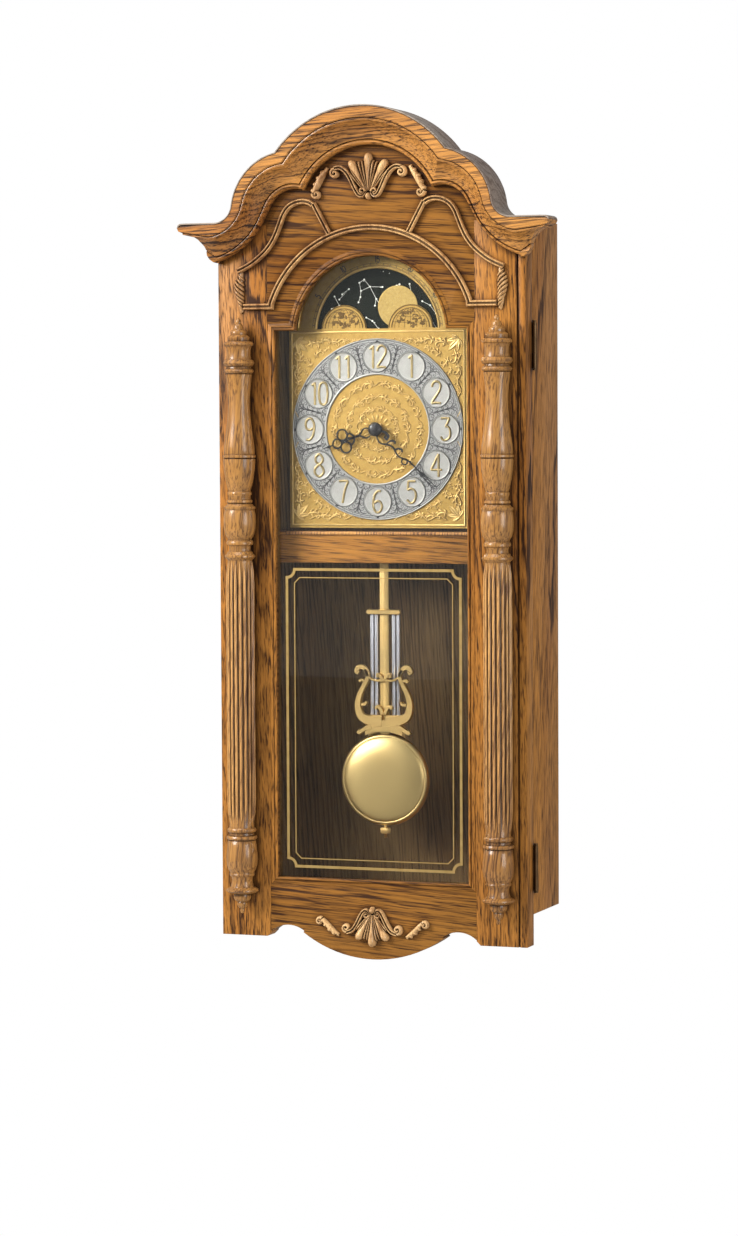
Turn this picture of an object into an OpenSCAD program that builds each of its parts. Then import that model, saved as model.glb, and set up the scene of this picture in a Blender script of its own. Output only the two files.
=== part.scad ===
// Arched-top oak wall clock with a glazed door, a moon dial and a pendulum.
// X runs to the right seen from the front, the front faces -Y, and Z is up.
// The origin is the centre of the hanging hole, on the plane that touches the wall.
// Every module below is drawn from the foot of the door and the door's front face;
// place() then moves it into the frame above.

/* [Case] */
// Half of the case and door width
half_w = 158.5; // [158:0.5:159]
// Thickness of the case sides
side_t = 12.5; // [11:0.5:14]
// Distance from the door's front face to the wall
wall_y = 103; // [102:1:108]
// Height of the case underside above the foot of the door
case_z0 = 30; // [28:1:33]
// Height of the case top above the foot of the door
case_z1 = 700; // [699:0.5:701]
// Thickness of the back panel
back_t = 6; // [5:0.5:7]
// Height of the hanging hole above the foot of the door
hang_z = 664; // [662:1:668]
// Radius of the hanging hole
hang_r = 4.5; // [4:0.25:5]

/* [Door] */
// Thickness of the door frame
door_t = 20.5; // [20:0.5:20.5]
// Half width of the glazed opening
open_w = 99.5; // [99:0.5:100.5]
// Radius of the arch at the top of the opening
arch_r = 78.5; // [77:0.5:80]
// Height of the centre of that arch
arch_z = 590; // [589:0.5:591]
// Thickness of the glass
glass_t = 3; // [2:0.5:3]
// Projection of the crown moulding in front of the door
crown_y = 28; // [26:1:30]

/* [Dial] */
// Height of the dial centre
dial_z = 500; // [499:0.5:501]
// Radius of the chapter ring
ring_r = 88.5; // [87:0.5:89]
// Height of the centre of the moon disc
moon_z = 594; // [593.5:0.5:594.5]
// Radius of the moon opening in the dial
moon_r = 62.8; // [61:0.2:63]
// Minute shown by the hands
minutes = 22; // [0:1:59]
// Hour shown by the hands
hours = 8; // [0:1:11]

/* [Pendulum] */
// Height of the pendulum's pivot
pivot_z = 447; // [446:0.5:448]
// Height of the centre of the bob
bob_z = 155; // [150:1:160]
// Radius of the bob
bob_r = 46; // [44:1:48]
// Depth of the pendulum rod behind the door's front face
rod_y = 39; // [39:0.5:40]

/* [Hidden] */
$fn = 64;

e = 0.01;
case_y0 = door_t + 0.3;
inner_w = half_w - side_t;
back_y = wall_y - back_t;
open_z0 = 59;
open_z1 = 597;
rail_x = 107;
glass_y = 5;
glass_edge = 7;
inner_z1 = case_z1 - 12;
dial_y = 22;
board_y = 27;
board_t = 6;
move_y = board_y + board_t + 0.3;
move_d = 26;
gear_m = 0.5;
reduction_x = gear_m * 20;
hinge_x = half_w + 2.5;
hinge_y = (door_t + case_y0) / 2;
hinge_h = 44;
hinge_zs = [53, 558];
column_x = 133;
column_y = -11;
hang_y = wall_y;

module place() {
    translate([0, -hang_y, -hang_z]) children();
}

// A box given by its lowest corner and its highest corner.
module block(a, b) {
    translate(a) cube([b[0] - a[0], b[1] - a[1], b[2] - a[2]]);
}

// A flat outline in X and Z, made t thick from y towards the wall.
module slab(y, t) {
    translate([0, y + t, 0]) rotate([90, 0, 0]) linear_extrude(t) children();
}

// A round bar along Y from y0 to y1.
module bar_y(x, z, r, y0, y1) {
    translate([x, y0, z]) rotate([-90, 0, 0]) cylinder(r = r, h = y1 - y0);
}

module both_sides() {
    children();
    mirror([1, 0, 0]) children();
}

function arc(c, r, a0, a1, n) = [
    for (i = [0 : n]) let (a = a0 + (a1 - a0) * i / n) [c[0] + r * cos(a), c[1] + r * sin(a)]
];
function flip(points) = [for (i = [len(points) - 1 : -1 : 0]) [-points[i][0], points[i][1]]];
function mix(a, b, t) = a + (b - a) * t;
function slant(p) = atan2(p[1], p[0]);
function distance(p) = sqrt(p[0] * p[0] + p[1] * p[1]);

// ---- Crown outline ----
// The outline runs right from the top: a main arch, a shoulder, a hollow and a flat ear.
// t is 0 on the outer edge and 1 on the inner edge of the moulding.
function main_c() = [0, 702];
function main_r(t) = mix(110, 73, t);
function shoulder_c(t) = mix([74.6, 710.3], [76, 706], t);
function shoulder_r(t) = mix(59.6, 28.5, t);
function hollow_c(t) = mix([151.6, 720], [180, 741.5], t);
function hollow_r(t) = mix(18, 80, t);
// Where the main arch meets the shoulder
function cusp(t) = let (
    d = shoulder_c(t) - main_c(),
    l = distance(d),
    a = (pow(main_r(t), 2) - pow(shoulder_r(t), 2) + l * l) / (2 * l),
    h = sqrt(pow(main_r(t), 2) - a * a),
    u = d / l
) main_c() + a * u + h * [-u[1], u[0]];
// The direction in which the shoulder passes into the hollow
function turn_a(t) = mix(slant(hollow_c(0) - shoulder_c(0)), 28.5, t);
function arches(t) = concat(
    arc(main_c(), main_r(t), 90, slant(cusp(t) - main_c()), 20),
    arc(shoulder_c(t), shoulder_r(t), slant(cusp(t) - shoulder_c(t)), turn_a(t), 12)
);
function half_outline(t) = concat(
    arches(t),
    arc(hollow_c(t), hollow_r(t), 180 + turn_a(t), mix(270, 252, t), 8)
);
// The ear at the end of the crown: a rounded tip over an ogee underside
function ear() = concat(
    arc([186, 697.5], 4.5, 90, -85, 6),
    arc([187, 673], 20, 93, 170, 6),
    arc([155.5, 675.3], 11.8, 8, -90, 5)
);
function closed_band(t0, t1) = let (
    half = concat(half_outline(t0), ear(), flip_order(half_outline(t1)))
) concat(half, flip(half));
function flip_order(points) = [for (i = [len(points) - 1 : -1 : 0]) points[i]];

// ---- Case ----
module hinge_recesses(y, depth) {
    for (z = hinge_zs)
        block([half_w - side_t + 1.5, y, z - 0.1], [half_w + 1, y + depth, z + hinge_h + 0.1]);
}

module side_right() {
    color("peru") place() difference() {
        block([inner_w, case_y0, case_z0], [half_w, wall_y, case_z1]);
        hinge_recesses(case_y0 - e, 1.2);
        for (z = hinge_zs, s = [9, hinge_h - 9]) bar_y(half_w - 6, z + s, 1.3, case_y0 - 1, case_y0 + 14);
    }
}

module side_left() {
    color("peru") place() mirror([1, 0, 0])
        block([inner_w, case_y0, case_z0], [half_w, wall_y, case_z1]);
}

module bottom_panel() {
    color("peru") place() block([-inner_w, case_y0, case_z0], [inner_w, back_y, case_z0 + 12]);
}

module top_panel() {
    color("peru") place() block([-inner_w, case_y0, inner_z1], [inner_w, back_y, case_z1]);
}

access_w = 62;
access_z0 = 430;
access_z1 = 590;

// Radius of the hanger plate and the places of its two screws
plate_r = 21;
plate_screws = [-15, 15];

// Plain dark panel with an access hole behind the movement and a recess for the hanger
module back_panel() {
    color("saddlebrown") place() difference() {
        block([-inner_w, back_y, case_z0], [inner_w, wall_y, case_z1]);
        block([-access_w, back_y - 1, access_z0], [access_w, wall_y + 1, access_z1]);
        bar_y(0, hang_z, plate_r + 0.2, wall_y - 2, wall_y + 1);
        bar_y(0, hang_z, 9, back_y - 1, wall_y + 1);
        for (x = plate_screws) bar_y(x, hang_z, 1.8, back_y - 1, wall_y);
        for (x = [-1, 1], z = [access_z0 - 6, access_z1 + 6])
            bar_y(x * (access_w - 12), z, 1.4, back_y - 1, wall_y);
    }
}

module hanging_rail() {
    color("burlywood") place() difference() {
        block([-inner_w, back_y - 14, inner_z1 - 48], [inner_w, back_y, inner_z1]);
        bar_y(0, hang_z, 9, back_y - 15, back_y + 1);
        for (x = plate_screws) bar_y(x, hang_z, 1.8, back_y - 12, back_y + 1);
    }
}

// Round steel plate let in flush; the wall screw's shank stands in its hole
module hanger_plate() {
    color("silver") place() difference() {
        bar_y(0, hang_z, plate_r, wall_y - 2, wall_y);
        bar_y(0, hang_z, hang_r, wall_y - 3, wall_y + 1);
        for (x = plate_screws) bar_y(x, hang_z, 2.2, wall_y - 3, wall_y + 1);
    }
}

module hanger_screws() {
    color("gainsboro") place() for (x = plate_screws) {
        bar_y(x, hang_z, 1.7, wall_y - 16, wall_y - 1.5);
        translate([x, wall_y - 1.5, hang_z]) rotate([-90, 0, 0]) cylinder(r1 = 1.7, r2 = 2.15, h = 1.4);
    }
}

module rear_cover() {
    color("dimgray") place() difference() {
        union() {
            block([-access_w + 0.4, back_y + 1.5, access_z0 + 0.4], [access_w - 0.4, back_y + 3.5, access_z1 - 0.4]);
            for (x = [-1, 1], z = [access_z0 - 6, access_z1 + 6])
                block([x * (access_w - 12) - 7, back_y - 2, z - 6], [x * (access_w - 12) + 7, back_y, z + 6]);
            for (x = [-1, 1], z = [access_z0 + 4, access_z1 - 4])
                block([x * (access_w - 12) - 7, back_y - 2, z - 3.5], [x * (access_w - 12) + 7, back_y + 1.6, z + 3.5]);
            for (x = [-1, 1], z = [access_z0, access_z1])
                block([x * (access_w - 12) - 7, back_y - 2, z - 3], [x * (access_w - 12) + 7, back_y, z + 3]);
        }
        for (x = [-1, 1], z = [access_z0 - 6, access_z1 + 6])
            bar_y(x * (access_w - 12), z, 1.4, back_y - 3, back_y + 1);
        for (i = [-5 : 5]) block([-30, back_y, 556 + i * 4 - 0.8], [30, back_y + 4, 556 + i * 4 + 0.8]);
    }
}

module cover_screws() {
    color("gainsboro") place() for (x = [-1, 1], z = [access_z0 - 6, access_z1 + 6]) {
        bar_y(x * (access_w - 12), z, 1.3, back_y - 2, wall_y - 2);
        bar_y(x * (access_w - 12), z, 3, back_y - 4, back_y - 2);
    }
}

// ---- Dial and its supports ----
module dial_rail() {
    color("peru") place() difference() {
        union() {
            block([-inner_w, dial_y, 369], [inner_w, board_y + board_t, 400]);
            block([-inner_w, dial_y - 1.2, 396.5], [inner_w, dial_y, 400]);
        }
        block([-8, board_y + 4, 368], [8, board_y + board_t + 1, 401]);
    }
}

module dial_board() {
    color("saddlebrown") place() difference() {
        block([-inner_w, board_y, 400], [inner_w, board_y + board_t, inner_z1]);
        bar_y(0, dial_z, 4.6, board_y - 1, board_y + board_t + 1);
        for (x = [-84, 84], z = [411, 590]) bar_y(x, z, 1.6, board_y - 1, board_y + board_t + 1);
        bar_y(0, moon_z, 2, board_y - 1, board_y + board_t + 1);
    }
}

module dial_outline() {
    difference() {
        union() {
            translate([-92.3, 403.5]) square([184.6, 194.7]);
            translate([0, moon_z]) circle(r = 84);
        }
        difference() {
            intersection() {
                translate([0, moon_z]) circle(r = moon_r);
                translate([-moon_r, 598.2]) square([moon_r * 2, moon_r]);
            }
            for (x = [-34.6, 34.6]) translate([x, 598.2]) circle(r = 23.2);
        }
        translate([0, dial_z]) circle(r = 4.6);
    }
}

module dial_plate() {
    color("goldenrod") place() slab(dial_y, 1) dial_outline();
}

module chapter_ring() {
    color("gainsboro") place() slab(dial_y - 1, 1) translate([0, dial_z]) difference() {
        circle(r = ring_r);
        circle(r = 53.2);
    }
}

module dial_centre() {
    color("gold") place() slab(dial_y - 0.6, 0.6) translate([0, dial_z]) difference() {
        circle(r = 53);
        circle(r = 7.6);
    }
}

// Four riveted posts that hold the dial off the board, each with its nut behind
module dial_posts() {
    color("tan") place() for (x = [-84, 84], z = [411, 590]) {
        bar_y(x, z, 3, dial_y + 1, board_y);
        bar_y(x, z, 1.5, board_y, board_y + board_t + 3);
        difference() {
            bar_y(x, z, 3.2, board_y + board_t, board_y + board_t + 2);
            bar_y(x, z, 1.5, board_y + board_t - 1, board_y + board_t + 3);
        }
    }
}

module moon_post() {
    color("tan") place() {
        bar_y(0, moon_z, 1.95, 23.4, board_y + board_t);
        bar_y(0, moon_z, 4, 25.7, board_y);
    }
}

// ---- Movement ----
move_w = 38;
move_z0 = 462;
move_z1 = 550;

module movement_case() {
    color("dimgray") place() {
        difference() {
            block([-move_w, move_y, move_z0], [move_w, move_y + move_d - 2, move_z1]);
            block([-move_w + 2, move_y + 2, move_z0 + 2], [move_w - 2, move_y + move_d, 511]);
            block([-move_w + 2, move_y + 2, 513], [move_w - 2, move_y + move_d, move_z1 - 2]);
            bar_y(0, dial_z, 3.05, move_y - 1, move_y + 3);
        }
        // Threaded bush through the board and the dial
        difference() {
            bar_y(0, dial_z, 4.5, dial_y - 2.6, move_y + 1);
            bar_y(0, dial_z, 3.05, dial_y - 4, move_y + 3);
        }
        // Stud that the reduction wheel turns on
        bar_y(reduction_x, dial_z, 0.75, move_y + 1, move_y + 14);
        // Ears and pin that the pendulum hangs from
        for (y = [rod_y - 3.5, rod_y + 2.5])
            block([-4, y, pivot_z - 5], [4, y + 1.6, move_z0 + 1]);
        bar_y(0, pivot_z, 1.2, rod_y - 3, rod_y + 3.5);
    }
}

module movement_back() {
    color("darkslategray") place() difference() {
        block([-move_w, move_y + move_d - 2, move_z0], [move_w, move_y + move_d, 511]);
        bar_y(0, dial_z, 2.1, move_y + move_d - 3, move_y + move_d + 1);
        for (x = [-24, 24]) block([x - 8, move_y + move_d - 3, 474], [x + 8, move_y + move_d + 1, 478]);
    }
}

module centre_nut() {
    color("goldenrod") place() difference() {
        translate([0, dial_y - 2.4, dial_z]) rotate([-90, 0, 0]) cylinder(r = 7, h = 1.6, $fn = 6);
        bar_y(0, dial_z, 4.5, dial_y - 5, dial_y + 1);
    }
}

module batteries() {
    color("seagreen") place() for (z = [521.5, 539.5]) translate([0, move_y + 15, z]) rotate([0, 90, 0]) {
        translate([0, 0, -24.5]) cylinder(r = 7.1, h = 49);
        translate([0, 0, 24.5]) cylinder(r = 2.7, h = 1.4);
    }
}

// ---- Speaker ----
speaker_x = 88;
speaker_z = 500;
speaker_y = board_y + board_t;

module speaker_frame() {
    color("dimgray") place() difference() {
        union() {
            bar_y(speaker_x, speaker_z, 28.5, speaker_y, speaker_y + 2);
            bar_y(speaker_x, speaker_z, 26, speaker_y + 2, speaker_y + 12);
        }
        bar_y(speaker_x, speaker_z, 24, speaker_y - 1, speaker_y + 10);
        bar_y(speaker_x, speaker_z, 9, speaker_y + 9, speaker_y + 13);
    }
}

module speaker_cone() {
    color("black") place() translate([speaker_x, speaker_y + 0.5, speaker_z]) rotate([-90, 0, 0])
        rotate_extrude() polygon([[0, 6], [8, 7], [20, 0.5], [23.9, 0], [23.9, 0.8], [20.3, 1.3], [8.5, 8], [0, 8]]);
}

module speaker_magnet() {
    color("silver") place() bar_y(speaker_x, speaker_z, 15, speaker_y + 12, speaker_y + 20);
}

lead_r = 1.1;
lead_sides = 8;
lead_path = [
    [move_w, 45, 482], [41, 45, 482], [45, 44.4, 481.4], [49, 43.4, 481], [53, 42.6, 481.6],
    [56, 42, 483], [58.6, 41.6, 485], [60.4, 41.4, 487.2], [62.7, 41.3, 489.4]
];
function lead_dir(i) = let (
    a = lead_path[max(i - 1, 0)],
    b = lead_path[min(i + 1, len(lead_path) - 1)],
    d = b - a
) d / norm(d);
function lead_ring(i) = let (
    d = lead_dir(i),
    u = cross(d, [0, 1, 0]) / norm(cross(d, [0, 1, 0])),
    v = cross(d, u)
) [for (k = [0 : lead_sides - 1]) let (a = 360 * k / lead_sides) lead_path[i] + lead_r * (cos(a) * u + sin(a) * v)];

// Two-core lead from the movement to the speaker
module speaker_lead() {
    n = len(lead_path);
    points = [for (i = [0 : n - 1]) each lead_ring(i)];
    walls = [for (i = [0 : n - 2], k = [0 : lead_sides - 1]) let (m = (k + 1) % lead_sides)
        [i * lead_sides + k, i * lead_sides + m, (i + 1) * lead_sides + m, (i + 1) * lead_sides + k]];
    first = [for (k = [lead_sides - 1 : -1 : 0]) k];
    last = [for (k = [0 : lead_sides - 1]) (n - 1) * lead_sides + k];
    color("firebrick") place() polyhedron(points, concat([first], walls, [last]));
}

// ---- Hinges and catch ----
knuckle_r = 2.1;
pin_r = 1.15;
case_knuckles = [[0, 14.4], [29.6, 44]];
door_knuckles = [[14.7, 29.3]];

// One leaf with its knuckles; y0 is the face let into the wood
module hinge_leaf(z, y0, knuckles) {
    difference() {
        union() {
            block([half_w - side_t + 1.6, y0, z], [half_w - 0.1, y0 + 1.1, z + hinge_h]);
            for (k = knuckles) {
                block([half_w - 0.2, y0, z + k[0]], [hinge_x, y0 + 1.1, z + k[1]]);
                translate([hinge_x, hinge_y, z + k[0]]) cylinder(r = knuckle_r, h = k[1] - k[0]);
            }
        }
        translate([hinge_x, hinge_y, z - 1]) cylinder(r = pin_r + 0.05, h = hinge_h + 2);
        for (s = [9, hinge_h - 9])
            bar_y(half_w - 6, z + s, 1.4, y0 - 1, y0 + 2);
    }
}

module hinge_screw_set(y0, y1) {
    for (z = hinge_zs, s = [9, hinge_h - 9]) bar_y(half_w - 6, z + s, 1.3, y0, y1);
}

module case_hinge_leaves() {
    color("saddlebrown") place() for (z = hinge_zs) hinge_leaf(z, case_y0, case_knuckles);
}

module door_hinge_leaves() {
    color("saddlebrown") place() for (z = hinge_zs) hinge_leaf(z, door_t - 1.1, door_knuckles);
}

module hinge_pins() {
    color("sienna") place() for (z = hinge_zs) {
        translate([hinge_x, hinge_y, z - 0.5]) cylinder(r = pin_r, h = hinge_h + 1);
        for (s = [z - 2, z + hinge_h + 0.5]) translate([hinge_x, hinge_y, s]) cylinder(r = 1.9, h = 1.5);
    }
}

module case_hinge_screws() {
    color("sienna") place() hinge_screw_set(case_y0, case_y0 + 14);
}

module door_hinge_screws() {
    color("sienna") place() hinge_screw_set(door_t - 14, door_t);
}

module catch_magnet() {
    color("dimgray") place() block([-inner_w, case_y0, 340], [-inner_w + 16, case_y0 + 12, 362]);
}

module strike_plate() {
    color("silver") place() block([-inner_w + 1, door_t - 1, 342], [-inner_w + 15, door_t, 360]);
}

// ---- Door frame ----
module glazing_rebate() {
    slab(glass_y, door_t) {
        translate([-open_w - glass_edge, open_z0 - glass_edge])
            square([2 * (open_w + glass_edge), open_z1 - open_z0 + 2 * glass_edge]);
        translate([0, arch_z]) circle(r = arch_r + glass_edge);
    }
}

module stile() {
    slab(0, door_t) polygon([
        [rail_x, 4], [rail_x + 4, 0], [half_w, 0], [half_w, case_z1], [rail_x, case_z1],
        [rail_x, open_z1], [open_w, open_z1], [open_w, open_z0], [rail_x, open_z0]
    ]);
}

module wood_screw_holes() {
    for (z = hinge_zs, s = [9, hinge_h - 9]) bar_y(half_w - 6, z + s, 1.3, door_t - 14, door_t + 1);
}

module door_stile_right() {
    color("peru") place() difference() {
        stile();
        glazing_rebate();
        hinge_recesses(door_t - 1.15, 2);
        wood_screw_holes();
        // Bead worked along the outer edge
        slab(-1, 3) translate([half_w - 9, -1]) square([2, case_z1 + 2]);
    }
}

module door_stile_left() {
    color("peru") place() difference() {
        mirror([1, 0, 0]) stile();
        glazing_rebate();
        block([-inner_w + 0.9, door_t - 1, 341.9], [-inner_w + 15.1, door_t + 1, 360.1]);
    }
}

band_t = 0.035;

module door_top_rail() {
    half = concat(half_outline(band_t), [[150.5, case_z1], [rail_x, case_z1], [rail_x, open_z1]]);
    color("peru") place() difference() {
        slab(0, door_t) difference() {
            polygon(concat(half, flip(half)));
            translate([0, arch_z]) circle(r = arch_r);
        }
        glazing_rebate();
    }
}

module door_bottom_rail() {
    lobe = arc([0, 105.5], 124, -90, -53.9, 10);
    notch = arc([88.5, -15.9], 27.9, 126.1, acos((rail_x - 88.5) / 27.9), 10);
    half = concat(lobe, notch, [[rail_x, open_z0]]);
    color("peru") place() difference() {
        slab(0, door_t) polygon(concat(half, flip(half)));
        glazing_rebate();
    }
}

// Stepped section: a broad front fillet, a middle step and a low inner bead
module crown_moulding() {
    color("peru") place() {
        slab(-8, 8) polygon(closed_band(band_t, 1));
        slab(-17, 9) polygon(closed_band(band_t, 0.72));
        slab(-crown_y, crown_y - 17) polygon(closed_band(band_t, 0.36));
    }
}

module crown_edge_band() {
    half = concat(half_outline(0), flip_order(half_outline(band_t)));
    color("rosybrown") place() slab(-crown_y, crown_y + door_t) polygon(concat(half, flip(half)));
}

// Turned half column; rows give the height and the radius of each turning
column_rows = [
    [0, 0], [2, 3], [6, 5], [9, 9], [15, 12], [20, 13], [22, 16.5], [24, 16.5], [29, 11],
    [34, 11], [38, 14], [41, 14], [48, 15.5], [58, 14], [70, 15], [76, 15], [80, 12.5], [84, 14.5],
    [88, 12.9], [350, 12.9], [353, 15], [357, 12], [364, 11], [377, 15], [400, 15.5], [404, 12],
    [415, 11], [448, 15.5], [453, 15.5], [480, 11.5], [510, 10], [530, 13], [534, 14.5], [548, 12],
    [552, 15], [562, 15.5], [566, 12], [574, 10], [580, 6], [586, 2], [587, 0]
];

module column(x) {
    intersection() {
        translate([x, column_y, 22.8]) rotate_extrude()
            polygon([for (row = column_rows) [row[1], row[0]]]);
        block([x - 33, -40, 0], [x + 33, 0, 640]);
    }
}

module column_right() {
    color("peru") place() column(column_x);
}

module column_left() {
    color("peru") place() column(-column_x);
}

// ---- Applied carvings ----
// A bar of width w and thickness t through a list of points, rounded at each of them
module ribbon(points, w, y, t) {
    for (i = [0 : len(points) - 2]) {
        d = (points[i + 1] - points[i]) / norm(points[i + 1] - points[i]);
        n = [-d[1], d[0]] * w / 2;
        slab(y, t) polygon([points[i] + n, points[i + 1] + n, points[i + 1] - n, points[i] - n]);
    }
    for (p = points) bar_y(p[0], p[1], w / 2 + 0.2, y, y + t);
}

// A fan of flutes, one rounded lobe each; s is -1 for the fan that points down
module fan(z, s, y, t) {
    for (a = [-28, -14, 0, 14, 28])
        let (reach = 38 - abs(a) * 0.15, d = [sin(a), s * cos(a)])
            ribbon([[0, z] + d * 8, [0, z] + d * reach], 7, y, t);
    bar_y(0, z, 6, y, y + t);
}

module top_carving() {
    color("burlywood") place() {
        fan(726, 1, -6, 6);
        both_sides() {
            ribbon([[2, 725], [9, 728], [15, 738], [20, 749], [28, 753], [34, 747]], 5, -6, 6);
            bar_y(34, 747, 5, -6, 0);
            ribbon([[43, 748], [50, 738], [54, 726], [49, 723]], 7, -6, 6);
        }
    }
}

module bottom_carving() {
    color("burlywood") place() {
        fan(29, -1, -5, 5);
        both_sides() {
            ribbon([[2, 31], [9, 29], [15, 20], [21, 11], [30, 13]], 5, -5, 5);
            bar_y(30, 13, 5, -5, 0);
            ribbon([[37, 9], [45, 12], [52, 20]], 6, -5, 5);
            bar_y(56, 20, 5, -5, 0);
        }
    }
}

bead_w = 5.5;

// A bead of width w along an arc, as a flat outline
module arc_strip(c, r, a0, a1, n) {
    slab(-6, 6) polygon(concat(arc(c, r + bead_w / 2, a0, a1, n), flip_order(arc(c, r - bead_w / 2, a0, a1, n))));
}

module straight_strip(a, b) {
    d = (b - a) / norm(b - a);
    n = [-d[1], d[0]] * bead_w / 2;
    slab(-6, 6) polygon([a + n, b + n, b - n, a - n]);
}

// Bead round the arch, out over the columns and up in two curves beside the shell
module tympanum_beading() {
    color("burlywood") place() {
        arc_strip([0, 587], 107, 16.5, 163.5, 36);
        both_sides() {
            straight_strip([102, 619], [131, 619]);
            arc_strip([151, 709], 62, 247, 190, 12);
            arc_strip([69, 702], 20, 3, 143, 10);
            straight_strip([51, 718], [35, 691]);
        }
    }
}

module rope_carvings() {
    color("burlywood") place() both_sides() slab(-6, 6) hull() {
        translate([134.5, 629]) circle(r = 4);
        translate([135.5, 652]) circle(r = 3.5);
    }
}

module glass_outline(inset) {
    translate([-open_w - glass_edge + inset, open_z0 - glass_edge + inset])
        square([2 * (open_w + glass_edge - inset), open_z1 - open_z0 + 2 * glass_edge - 2 * inset]);
    translate([0, arch_z]) circle(r = arch_r + glass_edge - inset);
}

module door_glass() {
    color("lightcyan", 0.4) place() slab(glass_y, glass_t) glass_outline(0.3);
}

// Four strips that hold the glass in its rebate
module glass_beads() {
    y = glass_y + glass_t;
    w = open_w + glass_edge - 0.3;
    z0 = open_z0 - glass_edge + 0.3;
    z1 = open_z1 + glass_edge - 0.3;
    color("sienna") place() {
        for (x = [-w, w - 6]) block([x, y, z0], [x + 6, y + 5, z1]);
        block([-w + 6, y, z0], [w - 6, y + 5, z0 + 6]);
        slab(y, 5) polygon(concat(
            arc([0, arch_z], arch_r + 6.5, 15, 165, 28),
            flip_order(arc([0, arch_z], arch_r + 1.5, 15, 165, 28))
        ));
    }
}

// ---- Motion work ----
hand_turn = minutes * 6;
hour_turn = hours * 30 + minutes / 2;

// Outline of a small wheel with n teeth of module gear_m, turned by a
module wheel_2d(n, a) {
    r = n * gear_m / 2;
    step = 360 / n;
    rotate(a) polygon([for (i = [0 : n - 1], k = [0 : 3])
        let (
            radius = k == 1 || k == 2 ? r + gear_m * 0.85 : r - gear_m * 1.15,
            turn = i * step + [-0.3, -0.13, 0.13, 0.3][k] * step
        ) [radius * cos(turn), radius * sin(turn)]]);
}

module wheel(x, y, t, n, a) {
    translate([x, y, dial_z]) rotate([-90, 0, 0]) linear_extrude(t) wheel_2d(n, a);
}

module minute_arbor() {
    color("goldenrod") place() {
        bar_y(0, dial_z, 1.5, 12.6, move_y + move_d + 6);
        wheel(0, move_y + 9.2, 3, 10, 0);
    }
}

module set_knob() {
    color("dimgray") place() difference() {
        translate([0, move_y + move_d + 0.6, dial_z]) rotate([-90, 0, 0]) cylinder(r = 9, h = 7);
        bar_y(0, dial_z, 1.5, move_y + move_d, move_y + move_d + 6);
        for (i = [0 : 11]) translate([0, 0, dial_z]) rotate([0, i * 30, 0])
            bar_y(9.8, 0, 1.6, move_y + move_d, move_y + move_d + 9);
    }
}

module hour_wheel() {
    color("goldenrod") place() difference() {
        union() {
            bar_y(0, dial_z, 3, 16.6, move_y + 4);
            wheel(0, move_y + 3.2, 2, 32, 0);
        }
        bar_y(0, dial_z, 1.55, 16, move_y + 8);
    }
}

module reduction_wheel() {
    color("goldenrod") place() difference() {
        union() {
            wheel(reduction_x, move_y + 9.7, 2, 30, 186);
            wheel(reduction_x, move_y + 2.8, 7, 8, 180 + 22.5);
        }
        bar_y(reduction_x, dial_z, 0.8, move_y, move_y + 14);
    }
}

hand_t = 0.8;

// The hands are drawn pointing up from their own centre.
// Rings on the minute hand: place across, place along and radius
ring_spots = [[3.9, 28, 3.3], [-3.7, 36, 3], [3.3, 44, 2.8]];

module minute_hand_shape(y) {
    difference() {
        union() {
            bar_y(0, 0, 6, y, y + hand_t);
            bar_y(0, 11.5, 6, y, y + hand_t);
            slab(y, hand_t) polygon([
                [-1.5, 16.8], [-1, 44], [-0.5, 60], [-1.9, 65], [-0.5, 70], [-0.4, 85],
                [0.4, 85], [0.5, 70], [1.9, 65], [0.5, 60], [1, 44], [1.5, 16.8]
            ]);
            for (c = ring_spots) bar_y(c[0], c[1], c[2], y, y + hand_t);
        }
        bar_y(0, 0, 1.5, y - 1, y + 2);
        bar_y(0, 11.8, 4.3, y - 1, y + 2);
        for (c = ring_spots) bar_y(c[0], c[1], c[2] - 1.2, y - 1, y + 2);
    }
}

module hour_hand_shape(y) {
    difference() {
        union() {
            bar_y(0, 0, 6, y, y + hand_t);
            bar_y(0, 10.6, 5, y, y + hand_t);
            block([-1, y, 15], [1, y + hand_t, 39]);
            for (x = [-6.4, 6.4]) bar_y(x, 35, 6.2, y, y + hand_t);
            bar_y(0, 43, 5.4, y, y + hand_t);
            slab(y, hand_t) polygon([[-1.6, 47], [0, 59], [1.6, 47]]);
        }
        bar_y(0, 0, 3, y - 1, y + 2);
        bar_y(0, 10.8, 3.6, y - 1, y + 2);
        for (x = [-6.4, 6.4]) bar_y(x, 35, 4.8, y - 1, y + 2);
        bar_y(0, 43.4, 3.9, y - 1, y + 2);
    }
}

module minute_hand() {
    color("black") place() translate([0, 0, dial_z]) rotate([0, hand_turn, 0])
        minute_hand_shape(14);
}

module hour_hand() {
    color("black") place() translate([0, 0, dial_z]) rotate([0, hour_turn, 0])
        hour_hand_shape(17.1);
}

// Domed cap screwed on the end of the minute arbor
module hand_cap() {
    color("black") place() translate([0, 14, dial_z]) rotate([90, 0, 0]) difference() {
        intersection() {
            translate([0, 0, -4.4]) sphere(r = 8.1);
            cylinder(r = 6.8, h = 4);
        }
        translate([0, 0, -1]) cylinder(r = 1.5, h = 2.4);
    }
}

// Painted disc with 118 teeth, one for each half day of two lunar months
module moon_disc() {
    teeth = 118;
    color("darkslategray") place() translate([0, 0, moon_z]) slab(24, 1.2) difference() {
        polygon([for (i = [0 : teeth - 1], k = [0, 1])
            let (a = (i + k * 0.5) * 360 / teeth, r = 66.5 + k * 1.1) [r * cos(a), r * sin(a)]]);
        circle(r = 2);
    }
}

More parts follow.
